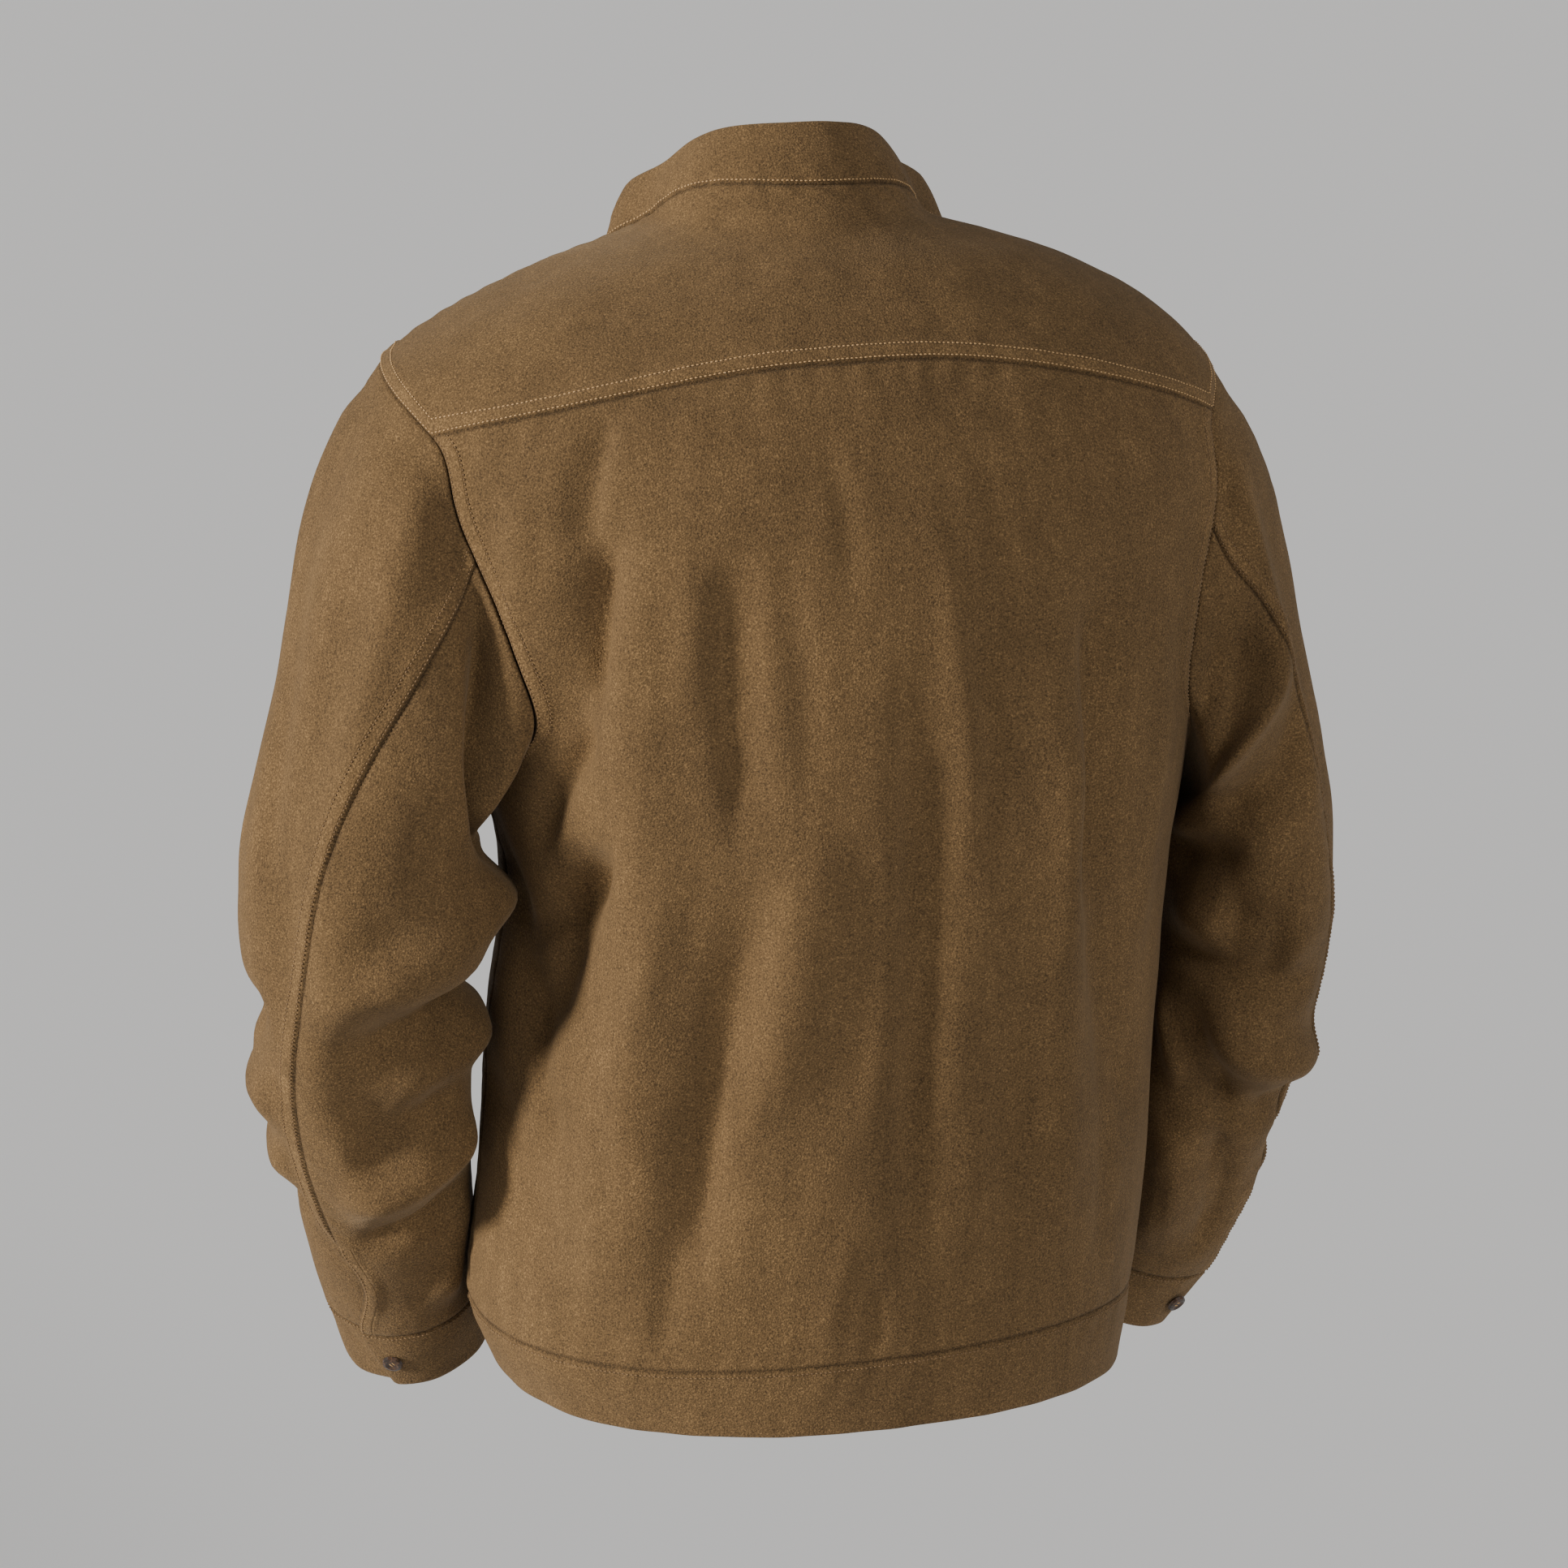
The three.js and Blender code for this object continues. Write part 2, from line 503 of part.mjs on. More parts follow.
function backYoke() {
  const lower = yokeColumns();
  const grid = range(YOKE_ROWS, 0, 1).map((rise) =>
    lower.map(({ turn, z, round }) => {
      const neckTurn = turn * neckTurnPerTurn;
      const at = { turn: mix(turn, neckTurn, rise), z: mix(z, neckZ(neckTurn), rise) };
      if (rise === 1) return { point: bodyPoint(at.turn, at.z), normal: neckNormal(at.turn) };
      return bodyCell(at.turn, at.z, Math.sign(turn), rise === 0 ? round : undefined);
    }),
  );
  return clothWall(grid, SUEDE);
}

// A front: a patch between the side edge, the hem seam, the front edge, and the shoulder and neck seams.
function frontPanel(side) {
  const edge = sideEdge(360 + SHOULDER_ROUND, FRONT_ARMHOLE_ROWS);
  const last = edge.length - 1;
  const frontTurn = 180 + FRONT_LAP;
  const shoulder = edge[last];
  const neckPoint = { turn: NECK.shoulderTurn, z: neckZ(NECK.shoulderTurn) };
  const shoulderSeam = range(YOKE_ROWS, 0, 1).map((t) => ({
    turn: mix(shoulder.turn, neckPoint.turn, t),
    z: mix(shoulder.z, neckPoint.z, t),
    onNeck: t === 1,
  }));
  const neckSeam = range(FRONT_NECK_COLUMNS, NECK.shoulderTurn, frontTurn).slice(1);
  const top = shoulderSeam.concat(neckSeam.map((turn) => ({ turn, z: neckZ(turn), onNeck: true })));
  const bottom = range(FRONT_COLUMNS, SIDE_TURN, frontTurn).map((turn) => ({ turn, z: HEM_SEAM_Z }));
  const frontEdge = range(last, HEM_SEAM_Z, neckZ(frontTurn)).map((z) => ({ turn: frontTurn, z }));
  const at = ({ turn, z }) => bodyPoint(side * turn, z);
  const between = (a, b, t) => at(a).lerp(at(b), t);
  const inPatch = (i, j) => {
    const w = i / last;
    const u = j / FRONT_COLUMNS;
    const low = between(bottom[0], bottom[FRONT_COLUMNS], u);
    const corners = low.lerp(between(top[0], top[FRONT_COLUMNS], u), w);
    const point = between(edge[i], frontEdge[i], u).add(between(bottom[j], top[j], w)).sub(corners);
    const { turn, z } = placeOf(point);
    return { turn: THREE.MathUtils.euclideanModulo(side * turn, 360), z };
  };
  const grid = edge.map((left, i) =>
    top.map((above, j) => {
      if (i === last && above.onNeck) return { point: at(above), normal: neckNormal(side * above.turn) };
      const onSide = (j === 0 && left) || (j === FRONT_COLUMNS && frontEdge[i]);
      const { turn, z } = onSide || (i === 0 && bottom[j]) || (i === last && above) || inPatch(i, j);
      return bodyCell(side * turn, z, side, j === 0 ? left.round : undefined);
    }),
  );
  return clothWall(grid, SUEDE);
}

// Columns that go all round the body, from the right front edge to the left one.
function allRound(backTurns, sideTurn, count) {
  const left = range(count, sideTurn, 180 + FRONT_LAP).slice(1);
  const right = left.map((turn) => -turn).reverse();
  return [...right, ...backTurns, ...left];
}

function collar() {
  const COLLAR_ROWS = 3;
  const backTurns = yokeColumns().map(({ turn }) => turn * neckTurnPerTurn);
  const turns = allRound(backTurns, NECK.shoulderTurn, FRONT_NECK_COLUMNS);
  const grid = range(COLLAR_ROWS, 0, 1).map((rise) =>
    turns.map((turn) => {
      const normal = rise === 0 ? neckNormal(turn) : collarNormal(turn, rise);
      return { point: collarPoint(turn, rise), normal };
    }),
  );
  return clothWall(grid, DOUBLED_SUEDE);
}

function hemBand() {
  const turns = allRound(range(BACK_COLUMNS, -SIDE_TURN, SIDE_TURN), SIDE_TURN, FRONT_COLUMNS);
  const HEM_ROWS = 2;
  const grid = range(HEM_ROWS, HEM_SEAM_Z, HEM_SEAM_Z - HEM_BAND_DEPTH).map((z) =>
    turns.map((turn) => bodyCell(turn, z)),
  );
  return clothWall(grid, DOUBLED_SUEDE);
}

// The rounds at which a sleeve's columns leave the armhole, the same points as the body's panels have.
function armholeRounds() {
  const onBack = range(BACK_ARMHOLE_ROWS, YOKE_ROUND, UNDERARM_ROUND);
  const onFront = range(FRONT_ARMHOLE_ROWS, UNDERARM_ROUND, 360 + SHOULDER_ROUND).slice(1);
  const onYoke = range(YOKE_ARMHOLE_COLUMNS, 360 + SHOULDER_ROUND, 360 + YOKE_ROUND).slice(1);
  return [...onBack, ...onFront, ...onYoke];
}

// Below the vent's start the under sleeve's edge stands back a little from the seam line.
function ventHalf(down) {
  return VENT_OPENING * smooth(down, VENT_START, VENT_START + VENT_EASE);
}

// How far round the upper sleeve's edge goes under the under sleeve.
function ventLap(down) {
  return CUFF_LAP * smooth(down, VENT_LAP_START, VENT_LAP_START + VENT_EASE);
}

// How deep the lapped end of a round lies, where lapped is how much of the lap there is.
function lapDepth(round, seam, lapped) {
  return LAP_STEP * smooth(round, seam - LAP_SLOPE.start, seam - LAP_SLOPE.end) * lapped;
}

// Where a column that starts at one round of the armhole lies between a piece's two edges lower down.
function sharedRound(start, rounds, from, to) {
  const first = rounds[0];
  return mix(from, to, (start - first) / (rounds[rounds.length - 1] - first));
}

function sleevePiece(arm, rounds, from, to) {
  const grid = SLEEVE_DOWNS.map((down) =>
    rounds.map((start) => {
      const even = sharedRound(start, rounds, from(arm, down), to(arm, down));
      const round = mix(start, even, smooth(down, 0, EVEN_BY));
      const normal = down === 0 ? armholeNormal(arm.side, start) : sleeveNormal(arm, round, down);
      const lapped = SLEEVE_LAP_SHARE * smooth(down, VENT_LAP_START - VENT_EASE, VENT_LAP_START);
      const tuck = lapDepth(round, 360 + arm.ring.backSeam(down), lapped);
      return { point: sleevePoint(arm, round, down).addScaledVector(normal, -tuck), normal };
    }),
  );
  return clothWall(grid, SUEDE);
}

const upperFrom = (arm, down) => arm.ring.frontSeam(down);
const upperTo = (arm, down) => 360 + arm.ring.backSeam(down) + ventLap(down);
const underFrom = (arm, down) => arm.ring.backSeam(down) + ventHalf(down);
const underTo = (arm, down) => arm.ring.frontSeam(down);

const SLEEVE_ROWS = 25;
const SLEEVE_DOWNS = [0, ...range(SLEEVE_ROWS, CLEAR_BY, CUFF_START)];
const CUFF_DOWNS = range(2, CUFF_START, CUFF_END);
const ROUNDS = armholeRounds();
const seamIndex = (round) => ROUNDS.findIndex((r) => Math.abs(r - round) < 1e-6);
const UPPER_ROUNDS = [
  ...ROUNDS.slice(seamIndex(FRONT_SEAM_ROUND)),
  ...ROUNDS.slice(1, seamIndex(BACK_SEAM_ROUND) + 1).map((round) => round + 360),
];
const UNDER_ROUNDS = ROUNDS.slice(seamIndex(BACK_SEAM_ROUND), seamIndex(FRONT_SEAM_ROUND) + 1);

// A cuff starts at the back seam, goes round the wrist and ends under its own start.
function cuff(arm) {
  const LAP_COLUMNS = 2;
  const grid = CUFF_DOWNS.map((down) => {
    const seam = 360 + arm.ring.backSeam(down);
    const shared = (rounds, from, to) => rounds.map((start) => sharedRound(start, rounds, from, to));
    const under = shared(UNDER_ROUNDS, underFrom(arm, down), underTo(arm, down));
    const upper = shared(UPPER_ROUNDS, upperFrom(arm, down), seam);
    const lap = range(LAP_COLUMNS, seam, seam + CUFF_LAP).slice(1);
    return [...under, ...upper.slice(1), ...lap].map((round) => {
      const normal = sleeveNormal(arm, round, down);
      const tuck = lapDepth(round, seam, 1);
      return { point: sleevePoint(arm, round, down).addScaledVector(normal, -tuck), normal };
    });
  });
  return clothWall(grid, DOUBLED_SUEDE);
}

// A button with a flat back, a rounded rim and a shallow dish, standing on the cloth at a point.
function button(point, normal, radius) {
  const profile = [
    [0, 0],
    [radius - 1.2, 0],
    [radius, 0.9],
    [radius - 0.5, BUTTON_THICKNESS - 0.5],
    [radius - 2, BUTTON_THICKNESS],
    [radius - 3.6, BUTTON_THICKNESS - 0.9],
    [0, BUTTON_THICKNESS - 1.1],
  ].map(([across, height]) => new THREE.Vector2(across, height));
  const mesh = new THREE.Mesh(new THREE.LatheGeometry(profile, 14), horn);
  mesh.quaternion.setFromUnitVectors(new THREE.Vector3(0, 1, 0), normal);
  mesh.position.copy(point).addScaledVector(normal, BUTTON_GAP);
  return mesh;
}

const jacket = new THREE.Group();

function addCloth(name, geometry) {
  const mesh = new THREE.Mesh(geometry, suede);
  mesh.name = name;
  jacket.add(mesh);
}

function addButton(name, point, normal, radius = FRONT_BUTTON_RADIUS) {
  const mesh = button(point, normal, radius);
  mesh.name = name;
  jacket.add(mesh);
}

addCloth("back_panel", backPanel());
addCloth("back_yoke", backYoke());
addCloth("collar", collar());
addCloth("hem_band", hemBand());
for (const arm of [LEFT, RIGHT]) {
  addCloth(`${arm.name}_front`, frontPanel(arm.side));
  addCloth(`${arm.name}_upper_sleeve`, sleevePiece(arm, UPPER_ROUNDS, upperFrom, upperTo));
  addCloth(`${arm.name}_under_sleeve`, sleevePiece(arm, UNDER_ROUNDS, underFrom, underTo));
  addCloth(`${arm.name}_cuff`, cuff(arm));
}

const FRONT_BUTTONS = 6;
const FRONT_BUTTON_TOP_Z = -102;
const FRONT_BUTTON_BOTTOM_Z = -560;
range(FRONT_BUTTONS - 1, FRONT_BUTTON_TOP_Z, FRONT_BUTTON_BOTTOM_Z).forEach((z, i) => {
  addButton(`front_button_${i + 1}`, bodyPoint(180, z), bodyNormal(180, z));
});
addButton("collar_button", collarPoint(180, 0.5), collarNormal(180, 0.5));
const hemButtonZ = HEM_SEAM_Z - HEM_BAND_DEPTH / 2;
addButton("hem_button", bodyPoint(180, hemButtonZ), bodyNormal(180, hemButtonZ));

const CUFF_BUTTON_INSET = 14;
for (const arm of [LEFT, RIGHT]) {
  const down = (CUFF_START + CUFF_END) / 2;
  const round = underFrom(arm, down) + CUFF_BUTTON_INSET;
  const normal = sleeveNormal(arm, round, down);
  addButton(`${arm.name}_cuff_button`, sleevePoint(arm, round, down), normal, CUFF_BUTTON_RADIUS);
}

export default jacket;
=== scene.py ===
import math

import bmesh
import bpy
import numpy as np
from mathutils import Matrix, Vector, noise


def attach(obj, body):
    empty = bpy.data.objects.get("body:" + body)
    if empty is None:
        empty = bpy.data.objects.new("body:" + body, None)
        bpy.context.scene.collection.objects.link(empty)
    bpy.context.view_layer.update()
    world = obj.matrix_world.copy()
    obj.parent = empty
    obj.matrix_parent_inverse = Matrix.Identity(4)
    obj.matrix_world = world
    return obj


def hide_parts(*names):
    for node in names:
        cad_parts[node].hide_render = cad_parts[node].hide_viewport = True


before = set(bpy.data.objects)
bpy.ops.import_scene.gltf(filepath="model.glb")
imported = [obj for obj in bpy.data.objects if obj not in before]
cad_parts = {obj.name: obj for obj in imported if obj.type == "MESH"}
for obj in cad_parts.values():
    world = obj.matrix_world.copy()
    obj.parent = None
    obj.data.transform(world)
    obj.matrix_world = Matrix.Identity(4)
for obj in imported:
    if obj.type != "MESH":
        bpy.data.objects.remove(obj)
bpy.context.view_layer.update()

# The photographer stands behind the jacket, a little to its left and above the shoulders,
# with a long lens. The camera is held a touch off level.
TARGET = Vector((0.010, 0.0, -0.315))
DISTANCE = 2.2
YAW = math.radians(15)
PITCH = math.radians(12)
ROLL = 0.02
LENS = 91.1
towards = Vector((math.sin(YAW) * math.cos(PITCH), math.cos(YAW) * math.cos(PITCH), math.sin(PITCH)))
level_right = Vector((-math.cos(YAW), math.sin(YAW), 0))
level_up = towards.cross(level_right)
right = level_right * math.cos(ROLL) + level_up * math.sin(ROLL)
up = level_up * math.cos(ROLL) - level_right * math.sin(ROLL)
camera_data = bpy.data.cameras.new("camera")
camera_data.lens = LENS
camera_data.sensor_width = 36
camera_data.sensor_height = 36
camera_data.sensor_fit = "HORIZONTAL"
camera = bpy.data.objects.new("camera", camera_data)
camera.matrix_world = Matrix.Translation(TARGET + towards * DISTANCE) @ Matrix(
    (right, up, towards)
).transposed().to_4x4()
bpy.context.scene.collection.objects.link(camera)
bpy.context.scene.camera = camera

# The back: one piece of suede from the yoke seam to the hem band, side seam to side seam. It hangs
# from the shoulder blades in long soft troughs. Its sizes, as all the cloth's, are in millimetres.
SUEDE = 1.6
BODY_RING_NAMES = "z half back front square sway nod lean"
BODY_RINGS = (
    (-650, 179, 134, 110, 2.2, -10, 0, -0.035),
    (-604, 190, 140, 118, 2.2, -5, 0, -0.008),
    (-530, 191, 137, 122, 2.2, -11, 0, 0),
    (-450, 190, 137, 128, 2.2, -14, 0, 0),
    (-370, 188, 141, 134, 2.2, -20, 0, 0),
    (-300, 197, 146, 138, 2.2, -18, 0, 0),
    (-255, 207, 147, 138, 2.2, -14, 0, 0),
    (-200, 223, 144, 134, 2.2, -8, 0, 0),
    (-150, 236, 137, 124, 2.15, -3, 0, 0),
    (-105, 237, 126, 106, 2.1, 3, -2, 0),
    (-77, 228, 117, 90, 2.0, 5, -8, 0.015),
    (-50, 194, 107, 76, 2.0, 6, -18, 0.04),
    (-28, 148, 96, 66, 2.0, 2, -28, 0.045),
    (-10, 92, 82, 56, 2.0, 2, -36, 0.035),
    (-2, 76, 76, 53, 2.0, 4.5, -37.5, 0.027),
    (20, 66, 60, 46, 2.0, 7, -40, 0),
)
ARMHOLE_NAMES = "round turn z"
ARMHOLE = (
    (-180, 119, -190),
    (-135, 111, -125),
    (-90, 95, -77),
    (-50, 75, -108),
    (-20, 71.5, -150),
    (15, 67, -212),
    (50, 69, -268),
    (90, 91, -298),
    (135, 114, -262),
    (180, 119, -190),
)
# A fold runs from one place to another, in millimetres of cloth across and along, with a bow, a
# width and a height, below 0 for a trough. The first table is the solids' own, the second is finer.
BODY_FOLDS = (
    (146, -122, 196, -298, 9, 14, -8.5),
    (168, -308, 212, -448, -4, 14, -10),
    (129, -132, 138, -590, -15, 20, 8),
    (86, -138, 92, -330, -2, 13, -5),
    (88, -318, 120, -588, -6, 18, -8),
    (58, -298, 74, -482, 0, 20, 5),
    (-12, -200, -34, -578, -8, 17, -6),
    (-92, -195, -139, -596, -9, 18, 6),
    (-126, -168, -126, -390, 0, 15, -9),
    (-126, -342, -190, -508, -6, 16, -7),
    (265, -330, 215, -470, 10, 20, -6),
    (262, -455, 190, -575, 12, 20, -5),
    (395, -170, 330, -330, 14, 20, -5),
    (455, -300, 380, -520, 12, 22, -5),
    (-390, -180, -325, -340, -14, 20, -5),
    (-450, -320, -385, -540, -12, 22, -5),
)
BODY_CREASES = (
    (148, -84, 164, -168, 0, 6.5, -6.5),
    (150, -150, 160, -252, -3, 6.5, -8),
    (156, -246, 214, -338, -4, 7, -7.5),
    (154, -310, 234, -392, 4, 7.5, -7.5),
    (240, -390, 188, -515, 4, 14, -8),
    (182, -120, 190, -215, 2, 6, 3),
    (130, -320, 150, -440, 0, 8, 2.4),
    (94, -150, 100, -330, -2, 5, -2.4),
    (100, -400, 118, -568, -2, 8, -2),
    (112, -150, 118, -260, 4, 8, 2),
    (30, -95, 24, -190, 3, 9, -1.6),
    (66, -130, 58, -300, 4, 10, -1.8),
    (40, -270, 60, -273, 1, 2.2, -0.9),
    (36, -262, 54, -262, 1, 2, -0.6),
    (30, -300, 22, -480, 4, 11, -1.8),
    (-4, -215, -6, -420, -2, 6, -2.2),
    (-30, -130, -40, -330, 4, 9, 1.6),
    (-54, -200, -54, -350, 0, 9, -2.8),
    (-70, -110, -66, -230, 3, 9, -1.5),
    (-100, -250, -106, -420, -3, 8, 2.4),
    (-119, -200, -118, -380, 2, 7, -2.8),
    (-164, -180, -170, -420, 4, 10, 2.2),
    (-80, -400, -92, -590, -3, 10, -1.8),
    (-146, -430, -158, -596, 4, 9, -2),
    (172, -440, 150, -590, -6, 12, 3),
    (130, -520, 122, -600, 2, 7, -2.4),
    (20, -520, 34, -600, 3, 9, 1.6),
    (0, -560, -8, -603, 2, 7, -1.6),
    (260, -310, 235, -400, 5, 9, -2.0),
    (300, -280, 330, -420, 5, 10, 1.8),
    (350, -240, 360, -420, -5, 11, -1.8),
    (420, -180, 410, -330, 4, 10, 1.6),
    (470, -420, 440, -590, 4, 11, -1.8),
    (-300, -300, -330, -430, -5, 10, -1.8),
    (-350, -220, -365, -420, 5, 11, 1.8),
    (-430, -150, -415, -330, 4, 10, -1.6),
    (-480, -420, -450, -590, -4, 11, 1.8),
    (-270, -330, -240, -430, -5, 9, -1.8),
)
BODY_MM_PER_DEGREE = 2.9
HEM_SEAM_Z = -604
YOKE_ROUND = -50
UNDERARM_ROUND = 90
YOKE_CENTRE_Z = -70
TWIST = 0.0004
LAP_STEP = 3.4
GRID_STEP = 3.6
NEAR_EDGE = (0.5, 1.3, 2.4, 3.8, 5.6)
# Where a panel is topstitched, its turned edge makes a band this wide that stands up a little.
BAND = 10.5
BAND_HEIGHT = 0.8
SEAM_INSET = 0.2
SEAM_ALLOWANCE = 0.9
SEAM_ROLL = 0.6
# How far the cloth's own unevenness lifts it between the folds, and how much deeper the folds are
# than on the solids.
UNEVEN = 1.7
FOLD_DEPTH = 1.3


def smooth(value, low, high):
    """A soft step from 0 at low to 1 at high."""
    share = np.clip((value - low) / (high - low), 0, 1)
    return share * share * (3 - 2 * share)


def mix(a, b, share):
    return a + (b - a) * share


def curve(at, value):
    """A smooth curve through a table's column, which runs straight on past the table's ends."""
    first = np.maximum(np.arange(len(at)) - 1, 0)
    second = np.minimum(np.arange(len(at)) + 1, len(at) - 1)
    slope = (value[second] - value[first]) / (at[second] - at[first])

    def through(x):
        x = np.asarray(x, float)
        i = np.clip(np.searchsorted(at, x) - 1, 0, len(at) - 2)
        step = at[i + 1] - at[i]
        t = np.clip((x - at[i]) / step, 0, 1)
        early = t * (1 - t) ** 2 * step * slope[i]
        late = t * t * (t - 1) * step * slope[i + 1]
        past = np.minimum(x - at[0], 0) * slope[0] + np.maximum(x - at[-1], 0) * slope[-1]
        return mix(value[i], value[i + 1], t * t * (3 - 2 * t)) + early + late + past

    return through


def curves(names, rows):
    """One smooth curve for each named column of a table, along its first column."""
    table = np.array(rows, float)
    return {name: curve(table[:, 0], table[:, k]) for k, name in enumerate(names.split())}


def fold_height(folds, across, along):
    """How far the folds of a table lift the cloth."""
    height = np.zeros(np.broadcast(across, along).shape)
    for across0, along0, across1, along1, bow, width, rise in folds:
        run = math.hypot(across1 - across0, along1 - along0)
        unit_across = (across1 - across0) / run
        unit_along = (along1 - along0) / run
        share = ((across - across0) * unit_across + (along - along0) * unit_along) / run
        away = (across - across0) * unit_along - (along - along0) * unit_across
        away = away - bow * 4 * share * (1 - share)
        fade = smooth(np.minimum(share, 1 - share), 0, 0.3)
        height += rise * fade * np.exp(-((away / width) ** 2))
    return height


body_ring = curves(BODY_RING_NAMES, BODY_RINGS)
armhole = curves(ARMHOLE_NAMES, ARMHOLE)


def body_point(turn, z):
    """The body's surface at a turn about its axis, from the middle of the back, and a height."""
    angle = np.radians(turn)
    forward = np.cos(angle)
    sideways = np.sin(angle)
    depth = np.where(forward > 0, body_ring["back"](z), body_ring["front"](z))
    square = body_ring["square"](z)
    inverse = np.abs(forward / depth) ** square + np.abs(sideways / body_ring["half"](z)) ** square
    radius = inverse ** (-1 / square)
    across = turn * BODY_MM_PER_DEGREE
    radius = radius + FOLD_DEPTH * fold_height(BODY_FOLDS, across, z)
    radius = radius + fold_height(BODY_CREASES, across, z)
    radius = radius - LAP_STEP * smooth(-turn, 150, 170)
    x = radius * sideways + body_ring["sway"](z)
    y = radius * forward + body_ring["nod"](z)
    return np.stack([x, y, z - TWIST * x * y - body_ring["lean"](z) * x], axis=-1)


def yoke_z(turn):
    share = np.abs(turn / armhole["turn"](YOKE_ROUND))
    return mix(YOKE_CENTRE_Z, armhole["z"](YOKE_ROUND), share**2.8)


def wrap_round(value):
    return (value + 180) % 360 - 180


def lines(*stretches):
    """A grid's lines over stretches (from, to, millimetres), close together at the two outer ends."""
    made = []
    for k, (start, end, length) in enumerate(stretches):
        count = max(round(length / GRID_STEP), 3)
        at = np.linspace(0, length, count + 1)
        if k == 0:
            at = np.concatenate([[0], NEAR_EDGE, at[at > NEAR_EDGE[-1] + 1]])
        if k == len(stretches) - 1:
            close = length - np.array((0, *NEAR_EDGE))[::-1]
            at = np.concatenate([at[at < close[0] - 1], close])
        made.append(mix(start, end, at[min(k, 1) :] / length))
    return np.concatenate(made)


def facing(points):
    """The normals of a grid of points."""
    along = np.gradient(points, axis=0)
    across = np.gradient(points, axis=1)
    normal = np.cross(along, across)
    return normal / np.linalg.norm(normal, axis=2, keepdims=True)


def uneven(points, fine, drop, seed):
    """Smooth noise at each point, in a cloud that is stretched downwards, from about -1 to 1."""
    flat = points.reshape(-1, 3) / (fine, fine, fine * drop) + seed
    values = [noise.noise(p) for p in flat.tolist()]
    return np.array(values).reshape(points.shape[:-1])


